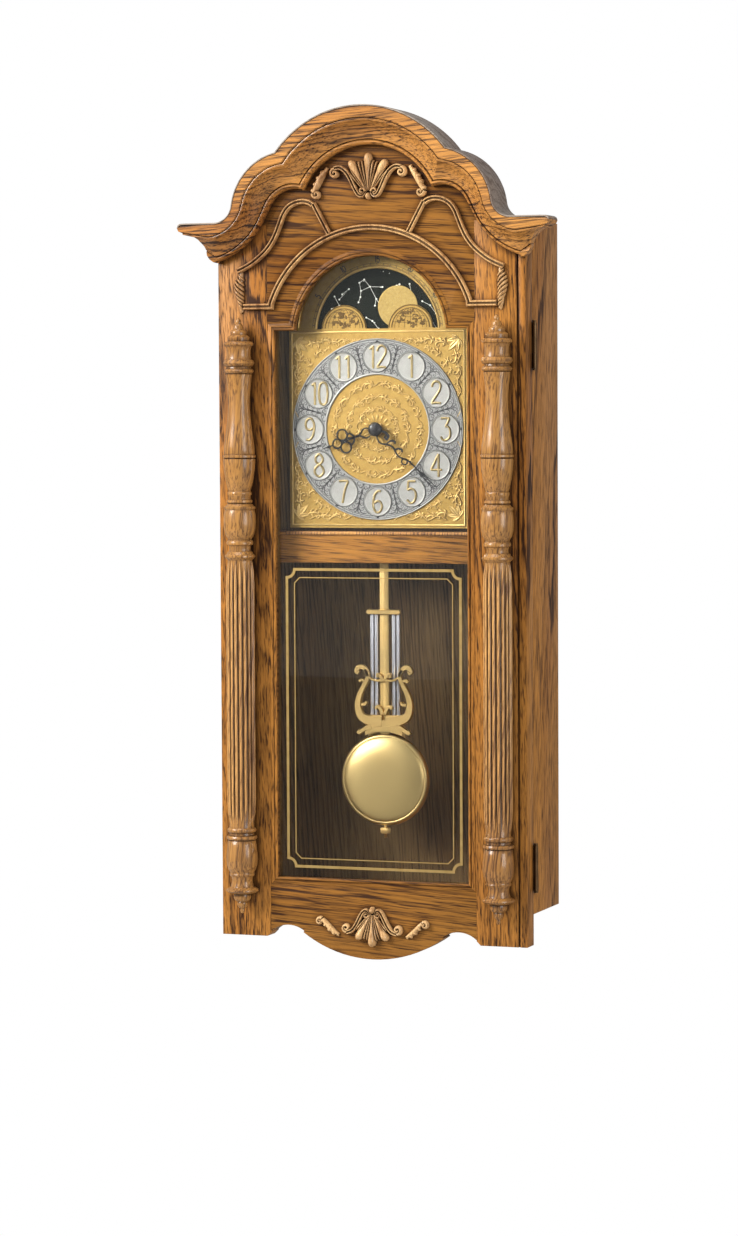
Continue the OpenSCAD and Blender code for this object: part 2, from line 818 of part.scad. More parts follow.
// ---- Pendulum ----
module pendulum_rod() {
    color("gold") place() difference() {
        union() {
            block([-4.5, rod_y - 0.9, 112], [4.5, rod_y + 0.9, pivot_z - 6]);
            block([-2.4, rod_y - 0.9, pivot_z - 7], [2.4, rod_y + 0.9, pivot_z]);
            bar_y(0, pivot_z, 2.4, rod_y - 0.9, rod_y + 0.9);
            translate([0, rod_y, 93]) cylinder(r = 1.6, h = 20);
        }
        bar_y(0, pivot_z, 1.25, rod_y - 2, rod_y + 2);
    }
}

// Travel of the bob up and down its rod, each way
bob_travel = 4;

// Lyre frame with its cross-bar and the four nickel rods; its foot is hollowed to clear the bob
module pendulum_lyre() {
    color("gold") place() difference() {
        lyre_frame();
        hull() for (s = [0, bob_travel]) bar_y(0, bob_z + s, bob_r + 0.5, rod_y - 6, rod_y);
    }
}

module lyre_frame() {
    union() {
        block([-17, rod_y - 2.9, 318], [17, rod_y - 0.9, 323]);
        for (x = [-13.7, -9, 9, 13.7]) translate([x, rod_y - 3, 203]) cylinder(r = 1.9, h = 117);
        slab(rod_y - 4.9, 4) {
            difference() {
                translate([0, 232]) scale([1, 1.25]) circle(r = 29.7);
                translate([0, 236]) scale([0.92, 1.3]) circle(r = 25);
                translate([-40, 252]) square([80, 30]);
            }
            both_sides() {
                translate([25, 259]) circle(r = 4.7);
                translate([21, 202]) circle(r = 5);
                polygon([[26, 246], [29.5, 248], [28, 262], [23, 263]]);
            }
            translate([-24, 200]) square([48, 6]);
        }
    }
}

// Domed disc with a rolled rim, open through its middle for the rod
module pendulum_bob() {
    color("gold") place() difference() {
        union() {
            translate([0, rod_y + 1, bob_z]) rotate([90, 0, 0]) intersection() {
                translate([0, 0, -101]) sphere(r = 111);
                cylinder(r = bob_r - 2, h = 12);
            }
            translate([0, rod_y, bob_z]) rotate([90, 0, 0]) rotate_extrude() translate([bob_r - 2.2, 0]) circle(r = 2.2);
            bar_y(0, bob_z, bob_r - 2, rod_y - 0.5, rod_y + 4);
        }
        block([-4.7, rod_y - 1.1, bob_z - bob_r - 2], [4.7, rod_y + 1.1, bob_z + bob_r + 2]);
        translate([0, rod_y, bob_z - bob_r - 1]) cylinder(r = 1.9, h = 14);
    }
}

module rating_nut() {
    color("gold") place() difference() {
        translate([0, rod_y, 101.5]) cylinder(r = 4.75, h = 6);
        translate([0, rod_y, 100]) cylinder(r = 1.68, h = 9);
        for (i = [0 : 15]) translate([0, rod_y, 101]) rotate([0, 0, i * 22.5])
            translate([5.1, 0, 0]) cylinder(r = 0.6, h = 7);
    }
}

// ---- Switches on the back of the movement ----
module slide_switch(x) {
    block([x - 2.4, move_y + move_d - 3.5, 474.3], [x + 2.4, move_y + move_d + 2.5, 477.7]);
    block([x - 4.5, move_y + move_d - 4.5, 472], [x + 4.5, move_y + move_d - 2.3, 480]);
}

module chime_switch() {
    color("white") place() slide_switch(-24);
}

module volume_switch() {
    color("white") place() slide_switch(24);
}

side_left();
side_right();
bottom_panel();
top_panel();
back_panel();
hanging_rail();
hanger_plate();
hanger_screws();
rear_cover();
cover_screws();
dial_rail();
dial_board();
dial_plate();
chapter_ring();
dial_centre();
dial_posts();
moon_post();
movement_case();
movement_back();
centre_nut();
batteries();
speaker_frame();
speaker_cone();
speaker_magnet();
speaker_lead();
case_hinge_leaves();
hinge_pins();
case_hinge_screws();
catch_magnet();
door_stile_left();
door_stile_right();
door_top_rail();
door_bottom_rail();
crown_moulding();
crown_edge_band();
column_left();
column_right();
top_carving();
bottom_carving();
tympanum_beading();
rope_carvings();
door_glass();
glass_beads();
strike_plate();
door_hinge_leaves();
door_hinge_screws();
minute_arbor();
minute_hand();
hand_cap();
set_knob();
hour_wheel();
hour_hand();
reduction_wheel();
moon_disc();
pendulum_rod();
pendulum_lyre();
pendulum_bob();
rating_nut();
chime_switch();
volume_switch();
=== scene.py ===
import math
import random

import bmesh
import bpy
from mathutils import Matrix, Vector


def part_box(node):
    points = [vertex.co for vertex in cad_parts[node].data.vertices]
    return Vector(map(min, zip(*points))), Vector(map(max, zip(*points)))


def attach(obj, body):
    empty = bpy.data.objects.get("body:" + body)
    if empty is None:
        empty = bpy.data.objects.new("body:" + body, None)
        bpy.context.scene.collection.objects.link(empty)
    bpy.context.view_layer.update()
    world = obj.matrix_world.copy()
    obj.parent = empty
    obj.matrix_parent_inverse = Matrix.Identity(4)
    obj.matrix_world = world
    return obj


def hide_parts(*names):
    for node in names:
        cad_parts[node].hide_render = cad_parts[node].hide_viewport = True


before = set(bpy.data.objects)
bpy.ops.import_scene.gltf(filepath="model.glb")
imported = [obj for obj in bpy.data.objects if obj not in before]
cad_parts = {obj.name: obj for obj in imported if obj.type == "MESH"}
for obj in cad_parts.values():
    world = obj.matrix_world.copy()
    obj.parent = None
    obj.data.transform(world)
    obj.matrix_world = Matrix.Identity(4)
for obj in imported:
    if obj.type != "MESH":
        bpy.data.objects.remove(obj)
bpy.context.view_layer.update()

# ---- Studio ----
# The clock hangs clear of a pale floor, in soft light from the upper left.
# The camera stands a little to the right of the clock and slightly above its middle.
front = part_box("door_stile_right")[0].y
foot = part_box("door_stile_right")[0].z


def at(x, y, z):
    """A point in the frame from millimetres right, back from the door's face and up from its foot."""
    return Vector((x / 1000, front + y / 1000, foot + z / 1000))


camera_turn = math.radians(20.1)
camera_rise = math.radians(3.1)
camera_roll = math.radians(-0.3)
camera_distance = 3.59
camera_aim = at(-2.4, 0, 316.4)
camera_lens = 107.3

toward = Vector((
    -math.sin(camera_turn) * math.cos(camera_rise),
    math.cos(camera_turn) * math.cos(camera_rise),
    -math.sin(camera_rise),
))
level = toward.cross(Vector((0, 0, 1))).normalized()
upright = level.cross(toward)
camera_right = level * math.cos(camera_roll) + upright * math.sin(camera_roll)
camera_up = upright * math.cos(camera_roll) - level * math.sin(camera_roll)
camera = bpy.data.objects.new("camera", bpy.data.cameras.new("camera"))
camera.data.lens = camera_lens
camera.data.sensor_width = 36
camera.matrix_world = Matrix((camera_right, camera_up, -toward)).transposed().to_4x4()
camera.location = camera_aim - toward * camera_distance
bpy.context.scene.collection.objects.link(camera)
bpy.context.scene.camera = camera
bpy.context.scene.view_settings.view_transform = "Standard"

for lamp_name, spot, size, watts, tint in (
    ("key_light", at(-1850, -1750, 1600), 1.2, 100, (1, 0.97, 0.93)),
    ("fill_light", at(2300, -1300, 600), 1.2, 30, (1, 0.99, 0.97)),
    ("top_light", at(-300, -500, 2300), 1.2, 16, (1, 1, 1)),
):
    lamp = bpy.data.objects.new(lamp_name, bpy.data.lights.new(lamp_name, "AREA"))
    lamp.data.size = size
    lamp.data.energy = watts
    lamp.data.color = tint
    lamp.location = spot
    lamp.rotation_euler = (at(0, 0, 400) - spot).to_track_quat("-Z", "Y").to_euler()
    bpy.context.scene.collection.objects.link(lamp)

# The backdrop is white to the camera and a softer grey to the clock, so its relief still reads.
world = bpy.data.worlds.new("studio")
bpy.context.scene.world = world
world.use_nodes = True
nodes, links = world.node_tree.nodes, world.node_tree.links
nodes.clear()
soft_light = nodes.new("ShaderNodeBackground")
soft_light.label = "Soft light on the clock"
soft_light.inputs["Color"].default_value = (0.93, 0.96, 1, 1)
soft_light.inputs["Strength"].default_value = 0.34
backdrop = nodes.new("ShaderNodeBackground")
backdrop.label = "White backdrop"
backdrop.inputs["Color"].default_value = (1, 1, 1, 1)
backdrop.inputs["Strength"].default_value = 1.0
who_looks = nodes.new("ShaderNodeLightPath")
who_looks.label = "Seen by the camera"
choose = nodes.new("ShaderNodeMixShader")
choose.label = "Backdrop or light"
world_end = nodes.new("ShaderNodeOutputWorld")
for step, node in enumerate((who_looks, soft_light, backdrop, choose, world_end)):
    node.location = (220 * step, 0)
links.new(who_looks.outputs["Is Camera Ray"], choose.inputs["Fac"])
links.new(soft_light.outputs["Background"], choose.inputs[1])
links.new(backdrop.outputs["Background"], choose.inputs[2])
links.new(choose.outputs["Shader"], world_end.inputs["Surface"])

floor_mesh = bpy.data.meshes.new("floor")
floor_half = 9000
floor_mesh.from_pydata(
    [at(x * floor_half, y * floor_half, -420) for x, y in ((-1, -1), (1, -1), (1, 1), (-1, 1))],
    [], [(0, 1, 2, 3)],
)
floor = bpy.data.objects.new("floor", floor_mesh)
floor_paint = bpy.data.materials.new("floor_paint")
floor_paint.use_nodes = True
nodes, links = floor_paint.node_tree.nodes, floor_paint.node_tree.links
nodes.clear()
pale = nodes.new("ShaderNodeBsdfDiffuse")
pale.label = "Pale floor"
pale.inputs["Color"].default_value = (0.5, 0.49, 0.47, 1)
white = nodes.new("ShaderNodeEmission")
white.label = "White to the camera"
seen = nodes.new("ShaderNodeLightPath")
seen.label = "Seen by the camera"
either = nodes.new("ShaderNodeMixShader")
either.label = "White or pale"
floor_end = nodes.new("ShaderNodeOutputMaterial")
for step, node in enumerate((seen, pale, white, either, floor_end)):
    node.location = (220 * step, 0)
links.new(seen.outputs["Is Camera Ray"], either.inputs["Fac"])
links.new(pale.outputs["BSDF"], either.inputs[1])
links.new(white.outputs["Emission"], either.inputs[2])
links.new(either.outputs["Shader"], floor_end.inputs["Surface"])
floor_mesh.materials.append(floor_paint)
bpy.context.scene.collection.objects.link(floor)


# ---- Case ----
# Two sides, a flat top and a bottom of solid oak, glued and screwed round a dark back.
# The boards are stained golden and lacquered to a satin shine; the sides' grain runs upright.
def oak_finish(name, lie, start, light=(0.54, 0.23, 0.048), dark=(0.06, 0.026, 0.012),
               rings=165, deep=0.007, recess_shade=0.8, gloss=0.0):
    """Golden oak: lie turns the grain from upright, start shifts the board within the log."""
    mat = bpy.data.materials.new(name)
    mat.use_nodes = True
    nodes, links = mat.node_tree.nodes, mat.node_tree.links
    nodes.clear()
    where = nodes.new("ShaderNodeTexCoord")
    where.label = "Place on the board"
    log = nodes.new("ShaderNodeMapping")
    log.label = "Board cut from the log"
    log.inputs["Location"].default_value = start
    log.inputs["Rotation"].default_value = lie
    long_waves = nodes.new("ShaderNodeMapping")
    long_waves.label = "Stretch the waver along the grain"
    long_waves.inputs["Scale"].default_value = (1, 1, 0.13)
    waver = nodes.new("ShaderNodeTexNoise")
    waver.label = "Waver of the growth rings"
    waver.inputs["Scale"].default_value = 14
    waver.inputs["Detail"].default_value = 4
    waver.inputs["Roughness"].default_value = 0.62
    split = nodes.new("ShaderNodeSeparateXYZ")
    split.label = "Across and through the log"
    flat = nodes.new("ShaderNodeCombineXYZ")
    flat.label = "Leave out the length"
    radius = nodes.new("ShaderNodeVectorMath")
    radius.label = "Distance from the pith"
    radius.operation = "LENGTH"
    count = nodes.new("ShaderNodeMath")
    count.label = "Rings to the metre"
    count.operation = "MULTIPLY"
    count.inputs[1].default_value = rings
    sway = nodes.new("ShaderNodeMath")
    sway.label = "Rings that wander"
    sway.operation = "MULTIPLY_ADD"
    sway.inputs[1].default_value = 4.6
    bunch = nodes.new("ShaderNodeTexNoise")
    bunch.label = "Good and lean years"
    bunch.inputs["Scale"].default_value = 46
    bunch.inputs["Detail"].default_value = 3
    uneven = nodes.new("ShaderNodeMath")
    uneven.label = "Rings that bunch"
    uneven.operation = "MULTIPLY_ADD"
    uneven.inputs[1].default_value = 3.2
    one_ring = nodes.new("ShaderNodeMath")
    one_ring.label = "Within one ring"
    one_ring.operation = "FRACT"
    which_ring = nodes.new("ShaderNodeMath")
    which_ring.label = "Which ring"
    which_ring.operation = "FLOOR"
    year = nodes.new("ShaderNodeTexWhiteNoise")
    year.label = "Each year its own strength"
    year.noise_dimensions = "1D"
    year_range = nodes.new("ShaderNodeMapRange")
    year_range.label = "Weak and strong years"
    year_range.inputs["From Min"].default_value = 0.1
    year_range.inputs["From Max"].default_value = 0.9
    year_range.inputs["To Min"].default_value = 0.36
    year_range.inputs["To Max"].default_value = 1.2
    one_year = nodes.new("ShaderNodeMath")
    one_year.label = "Ring lines by year"
    one_year.operation = "MULTIPLY"
    ring_tone = nodes.new("ShaderNodeValToRGB")
    ring_tone.label = "Late wood, then open early wood"
    ring_tone.color_ramp.elements[0].position = 0.0
    ring_tone.color_ramp.elements[0].color = (0.2, 0.2, 0.2, 1)
    ring_tone.color_ramp.elements[1].position = 1.0
    ring_tone.color_ramp.elements[1].color = (0.2, 0.2, 0.2, 1)
    for spot, grey in ((0.12, 0.0), (0.34, 0.0), (0.52, 0.22), (0.66, 0.5), (0.8, 1.0), (0.9, 0.85)):
        ring_tone.color_ramp.elements.new(spot).color = (grey, grey, grey, 1)
    fibre_lie = nodes.new("ShaderNodeMapping")
    fibre_lie.label = "Fibres run along the grain"
    fibre_lie.inputs["Scale"].default_value = (1, 1, 0.035)
    fibre = nodes.new("ShaderNodeTexNoise")
    fibre.label = "Fibres"
    fibre.inputs["Scale"].default_value = 420
    fibre.inputs["Detail"].default_value = 5
    fibre.inputs["Roughness"].default_value = 0.7
    pores = nodes.new("ShaderNodeTexNoise")
    pores.label = "Open pores"
    pores.inputs["Scale"].default_value = 900
    pores.inputs["Detail"].default_value = 2
    pore_cut = nodes.new("ShaderNodeMapRange")
    pore_cut.label = "Only the deepest pores"
    pore_cut.inputs["From Min"].default_value = 0.52
    pore_cut.inputs["From Max"].default_value = 0.62
    patch = nodes.new("ShaderNodeTexNoise")
    patch.label = "Where the figure is strong"
    patch.inputs["Scale"].default_value = 15
    patch.inputs["Detail"].default_value = 2
    patch_range = nodes.new("ShaderNodeMapRange")
    patch_range.label = "From faint to strong figure"
    patch_range.inputs["From Min"].default_value = 0.38
    patch_range.inputs["From Max"].default_value = 0.6
    patch_range.inputs["To Min"].default_value = 0.22
    patch_range.inputs["To Max"].default_value = 1.0
    figure = nodes.new("ShaderNodeMath")
    figure.label = "Ring lines by patch"
    figure.operation = "MULTIPLY"
    pore_share = nodes.new("ShaderNodeMath")
    pore_share.label = "Pores darken the wood"
    pore_share.operation = "MULTIPLY_ADD"
    pore_share.inputs[1].default_value = 0.65
    fibre_share = nodes.new("ShaderNodeMath")
    fibre_share.label = "Fibres add to the figure"
    fibre_share.operation = "MULTIPLY_ADD"
    fibre_share.inputs[1].default_value = 1.5
    fibre_share.inputs[2].default_value = -0.66
    all_dark = nodes.new("ShaderNodeMath")
    all_dark.label = "All dark marks"
    all_dark.operation = "ADD"
    all_dark.use_clamp = True
    body_tone = nodes.new("ShaderNodeMix")
    body_tone.label = "Stain over light and dark wood"
    body_tone.data_type = "RGBA"
    body_tone.inputs["A"].default_value = (*light, 1)
    body_tone.inputs["B"].default_value = (*dark, 1)
    cloud = nodes.new("ShaderNodeMix")
    cloud.label = "Redder clouds in the stain"
    cloud.data_type = "RGBA"
    cloud.blend_type = "MULTIPLY"
    cloud.inputs["B"].default_value = (0.62, 0.52, 0.5, 1)
    cloud_share = nodes.new("ShaderNodeMapRange")
    cloud_share.label = "Where the clouds lie"
    cloud_share.inputs["From Min"].default_value = 0.45
    cloud_share.inputs["From Max"].default_value = 0.75
    # Ambient occlusion finds the recesses, and the wood is darkened there toward near black: painted shade,
    # which also stands for glaze left in them.
    corner = nodes.new("ShaderNodeAmbientOcclusion")
    corner.label = "Find the recesses"
    corner.samples = 6
    corner.inputs["Distance"].default_value = deep
    glaze_and_shade = nodes.new("ShaderNodeMapRange")
    glaze_and_shade.label = "Glaze and painted shade in the recesses"
    glaze_and_shade.inputs["From Min"].default_value = 0.48
    glaze_and_shade.inputs["From Max"].default_value = 0.95
    glaze_and_shade.inputs["To Min"].default_value = recess_shade
    glaze_and_shade.inputs["To Max"].default_value = 0.0
    # Mixes the stained wood toward the dark painted shade in the recesses.
    painted_recess_shade = nodes.new("ShaderNodeMix")
    painted_recess_shade.label = "Dark glaze"
    painted_recess_shade.data_type = "RGBA"
    painted_recess_shade.inputs["B"].default_value = (0.035, 0.014, 0.007, 1)
    dent = nodes.new("ShaderNodeBump")
    dent.label = "Pores sunk in the lacquer"
    dent.invert = True
    dent.inputs["Strength"].default_value = 0.22
    dent.inputs["Distance"].default_value = 0.0004
    shine = nodes.new("ShaderNodeMapRange")
    shine.label = "Duller in the dark marks"
    shine.inputs["To Min"].default_value = 0.3
    shine.inputs["To Max"].default_value = 0.5
    surface = nodes.new("ShaderNodeBsdfPrincipled")
    surface.label = "Satin lacquered oak"
    surface.inputs["Specular IOR Level"].default_value = 0.1 + 0.3 * gloss
    surface.inputs["Coat Weight"].default_value = gloss
    surface.inputs["Coat Roughness"].default_value = 0.16
    end = nodes.new("ShaderNodeOutputMaterial")
    for row, (effect, group) in enumerate((
        ("Growth rings", (where, log, long_waves, waver, bunch, split, flat, radius, count, sway, uneven)),
        ("Lines", (one_ring, ring_tone, which_ring, year, year_range, one_year)),
        ("Fibres and pores", (fibre_lie, fibre, pores, pore_cut, patch, patch_range)),
        ("Dark marks", (figure, pore_share, fibre_share, all_dark)),
        ("Stain and glaze", (body_tone, cloud_share, cloud, corner, glaze_and_shade, painted_recess_shade)),
        ("Surface", (dent, shine, surface, end)),
    )):
        holder = nodes.new("NodeFrame")
        holder.label = effect
        for step, node in enumerate(group):
            node.parent = holder
            node.location = (210 * step, -320 * row)
    links.new(where.outputs["Object"], log.inputs["Vector"])
    links.new(log.outputs["Vector"], long_waves.inputs["Vector"])
    links.new(long_waves.outputs["Vector"], waver.inputs["Vector"])
    links.new(log.outputs["Vector"], split.inputs["Vector"])
    links.new(split.outputs["X"], flat.inputs["X"])
    links.new(split.outputs["Y"], flat.inputs["Y"])
    links.new(flat.outputs["Vector"], radius.inputs[0])
    links.new(radius.outputs["Value"], count.inputs[0])
    links.new(waver.outputs["Fac"], sway.inputs[0])
    links.new(count.outputs["Value"], sway.inputs[2])
    links.new(long_waves.outputs["Vector"], bunch.inputs["Vector"])
    links.new(bunch.outputs["Fac"], uneven.inputs[0])
    links.new(sway.outputs["Value"], uneven.inputs[2])
    links.new(uneven.outputs["Value"], one_ring.inputs[0])
    links.new(one_ring.outputs["Value"], ring_tone.inputs["Fac"])
    links.new(log.outputs["Vector"], fibre_lie.inputs["Vector"])
    links.new(fibre_lie.outputs["Vector"], fibre.inputs["Vector"])
    links.new(fibre_lie.outputs["Vector"], pores.inputs["Vector"])
    links.new(pores.outputs["Fac"], pore_cut.inputs["Value"])
    links.new(long_waves.outputs["Vector"], patch.inputs["Vector"])
    links.new(patch.outputs["Fac"], patch_range.inputs["Value"])
    links.new(uneven.outputs["Value"], which_ring.inputs[0])
    links.new(which_ring.outputs["Value"], year.inputs["W"])
    links.new(year.outputs["Value"], year_range.inputs["Value"])
    links.new(ring_tone.outputs["Color"], one_year.inputs[0])
    links.new(year_range.outputs["Result"], one_year.inputs[1])
    links.new(one_year.outputs["Value"], figure.inputs[0])
    links.new(patch_range.outputs["Result"], figure.inputs[1])
    links.new(pore_cut.outputs["Result"], pore_share.inputs[0])
    links.new(figure.outputs["Value"], pore_share.inputs[2])
    links.new(fibre.outputs["Fac"], fibre_share.inputs[0])
    links.new(pore_share.outputs["Value"], all_dark.inputs[0])
    links.new(fibre_share.outputs["Value"], all_dark.inputs[1])
    links.new(all_dark.outputs["Value"], body_tone.inputs["Factor"])
    links.new(patch.outputs["Fac"], cloud_share.inputs["Value"])
    links.new(cloud_share.outputs["Result"], cloud.inputs["Factor"])
    links.new(body_tone.outputs["Result"], cloud.inputs["A"])
    links.new(corner.outputs["AO"], glaze_and_shade.inputs["Value"])
    links.new(glaze_and_shade.outputs["Result"], painted_recess_shade.inputs["Factor"])
    links.new(cloud.outputs["Result"], painted_recess_shade.inputs["A"])
    links.new(painted_recess_shade.outputs["Result"], surface.inputs["Base Color"])
    links.new(all_dark.outputs["Value"], dent.inputs["Height"])
    links.new(dent.outputs["Normal"], surface.inputs["Normal"])
    links.new(all_dark.outputs["Value"], shine.inputs["Value"])
    links.new(shine.outputs["Result"], surface.inputs["Roughness"])
    links.new(surface.outputs["BSDF"], end.inputs["Surface"])
    return mat


def finish_node(name, mat):
    """Gives a CAD node its finish."""
    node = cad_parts[name]
    node.data.materials.clear()
    node.data.materials.append(mat)


tilt = math.radians(4)
sideways = math.radians(90)
upright_oak = oak_finish("oak_upright", (tilt, tilt * 0.4, 0), (0.13, 0.045, 0.1))
side_oak = oak_finish("oak_side", (tilt, tilt * 0.6, math.radians(80)), (0.06, 0.17, 0.0), rings=180)
cross_oak = oak_finish("oak_crosswise", (0, sideways + tilt, 0), (0.02, 0.02, 0.05))
for board in ("side_left", "side_right"):
    finish_node(board, side_oak)
for board in ("top_panel", "bottom_panel"):
    finish_node(board, cross_oak)

panel_oak = oak_finish("stained_panel", (0, tilt, 0), (0.31, 0.2, 0), (0.17, 0.11, 0.048),
                       (0.065, 0.041, 0.018), 320)
rail_pine = oak_finish("bare_pine", (0, sideways, 0), (0.2, 0.02, 0), (0.6, 0.4, 0.2),
                       (0.3, 0.15, 0.06), 120)


def soft_copy(node, name, mat, body, soften=0.7):
    """A board of the door or case again, with its sharp edges eased by soften millimetres."""
    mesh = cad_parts[node].data.copy()
    mesh.name = name
    work = bmesh.new()
    work.from_mesh(mesh)
    bmesh.ops.remove_doubles(work, verts=work.verts, dist=0.00001)
    bmesh.ops.dissolve_limit(work, angle_limit=math.radians(1.5), verts=work.verts, edges=work.edges)
    sharp = [e for e in work.edges if len(e.link_faces) == 2 and e.calc_face_angle() > math.radians(30)]
    bmesh.ops.bevel(work, geom=sharp, offset=soften / 1000, segments=2, profile=0.5, affect="EDGES",
                    clamp_overlap=True)
    bmesh.ops.recalc_face_normals(work, faces=work.faces)
    work.to_mesh(mesh)
    work.free()
    mesh.materials.clear()
    mesh.materials.append(mat)
    mesh.shade_smooth()
    mesh.set_sharp_from_angle(angle=math.radians(38))
    piece = bpy.data.objects.new(name, mesh)
    bpy.context.scene.collection.objects.link(piece)
    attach(piece, body)
    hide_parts(node)
    return piece


soft_copy("side_left", "case_side_left", side_oak, "case", 1.0)
soft_copy("side_right", "case_side_right", side_oak, "case", 1.0)
soft_copy("top_panel", "case_top", cross_oak, "case", 0.8)
soft_copy("bottom_panel", "case_bottom", cross_oak, "case", 0.8)
soft_copy("hanging_rail", "case_hanging_rail", rail_pine, "case", 1.0)
finish_node("back_panel", panel_oak)


# ---- Hanger, movement and speaker ----
# The steel hanger, black movement, two cells and a small speaker sit on the back and the dial board.
# Metal is plated or lacquered, the movement and its switches are moulded plastic.
def metal_finish(name, colour, shade, rough, brushed=0.0, mottled=60, coat=0.0):
    """Metal with tarnish clouds, painted shade darkening its hollows, faint handling marks and a drawn or
    brushed grain.
    """
    mat = bpy.data.materials.new(name)
    mat.use_nodes = True
    nodes, links = mat.node_tree.nodes, mat.node_tree.links
    nodes.clear()
    where = nodes.new("ShaderNodeTexCoord")
    where.label = "Place on the piece"
    drawn = nodes.new("ShaderNodeMapping")
    drawn.label = "Marks drawn out along the length"
    drawn.inputs["Scale"].default_value = (1, 1, 1 - 0.97 * brushed)
    scratches = nodes.new("ShaderNodeTexNoise")
    scratches.label = "Fine marks"
    scratches.inputs["Scale"].default_value = 1500
    scratches.inputs["Detail"].default_value = 3
    clouds = nodes.new("ShaderNodeTexNoise")
    clouds.label = "Tarnish clouds"
    clouds.inputs["Scale"].default_value = mottled
    clouds.inputs["Detail"].default_value = 4
    spread = nodes.new("ShaderNodeMapRange")
    spread.label = "Strength of the tarnish"
    spread.inputs["From Min"].default_value = 0.35
    spread.inputs["From Max"].default_value = 0.75
    spread.inputs["To Max"].default_value = 0.55
    # Ambient occlusion finds the hollows and the gaps beside other parts; the metal is darkened there
    # toward the shade colour as painted shade, besides the random tarnish clouds.
    hollows = nodes.new("ShaderNodeAmbientOcclusion")
    hollows.label = "Find the hollows"
    hollows.samples = 6
    hollows.inputs["Distance"].default_value = 0.003
    hollow_shade = nodes.new("ShaderNodeMapRange")
    hollow_shade.label = "Painted shade kept in the hollows"
    hollow_shade.inputs["From Min"].default_value = 0.2
    hollow_shade.inputs["From Max"].default_value = 0.9
    hollow_shade.inputs["To Min"].default_value = 0.8
    hollow_shade.inputs["To Max"].default_value = 0.0
    tarnish_and_shade = nodes.new("ShaderNodeMath")
    tarnish_and_shade.label = "Tarnish and painted shade"
    tarnish_and_shade.operation = "MAXIMUM"
    tone = nodes.new("ShaderNodeMix")
    tone.label = "Metal, tarnish and painted shade"
    tone.data_type = "RGBA"
    tone.inputs["A"].default_value = (*colour, 1)
    tone.inputs["B"].default_value = (*shade, 1)
    gloss = nodes.new("ShaderNodeMapRange")
    gloss.label = "Duller where tarnished"
    gloss.inputs["To Min"].default_value = rough
    gloss.inputs["To Max"].default_value = min(1, rough + 0.25)
    bump = nodes.new("ShaderNodeBump")
    bump.label = "Depth of the marks"
    bump.inputs["Strength"].default_value = 0.08 + 0.15 * brushed
    bump.inputs["Distance"].default_value = 0.0001
    surface = nodes.new("ShaderNodeBsdfPrincipled")
    surface.label = "Metal"
    surface.inputs["Metallic"].default_value = 1
    surface.inputs["Coat Weight"].default_value = coat
    surface.inputs["Coat Roughness"].default_value = 0.15
    end = nodes.new("ShaderNodeOutputMaterial")
    for row, (effect, group) in enumerate((
        ("Marks", (where, drawn, scratches, bump)),
        ("Tarnish", (clouds, spread, hollows, hollow_shade, tarnish_and_shade)),
        ("Surface", (tone, gloss, surface, end)),
    )):
        holder = nodes.new("NodeFrame")
        holder.label = effect
        for step, node in enumerate(group):
            node.parent = holder
            node.location = (210 * step, -320 * row)
    links.new(where.outputs["Object"], drawn.inputs["Vector"])
    links.new(drawn.outputs["Vector"], scratches.inputs["Vector"])
    links.new(scratches.outputs["Fac"], bump.inputs["Height"])
    links.new(where.outputs["Object"], clouds.inputs["Vector"])
    links.new(clouds.outputs["Fac"], spread.inputs["Value"])
    links.new(hollows.outputs["AO"], hollow_shade.inputs["Value"])
    links.new(spread.outputs["Result"], tarnish_and_shade.inputs[0])
    links.new(hollow_shade.outputs["Result"], tarnish_and_shade.inputs[1])
    links.new(tarnish_and_shade.outputs["Value"], tone.inputs["Factor"])
    links.new(tarnish_and_shade.outputs["Value"], gloss.inputs["Value"])
    links.new(tone.outputs["Result"], surface.inputs["Base Color"])
    links.new(gloss.outputs["Result"], surface.inputs["Roughness"])
    links.new(bump.outputs["Normal"], surface.inputs["Normal"])
    links.new(surface.outputs["BSDF"], end.inputs["Surface"])
    return mat


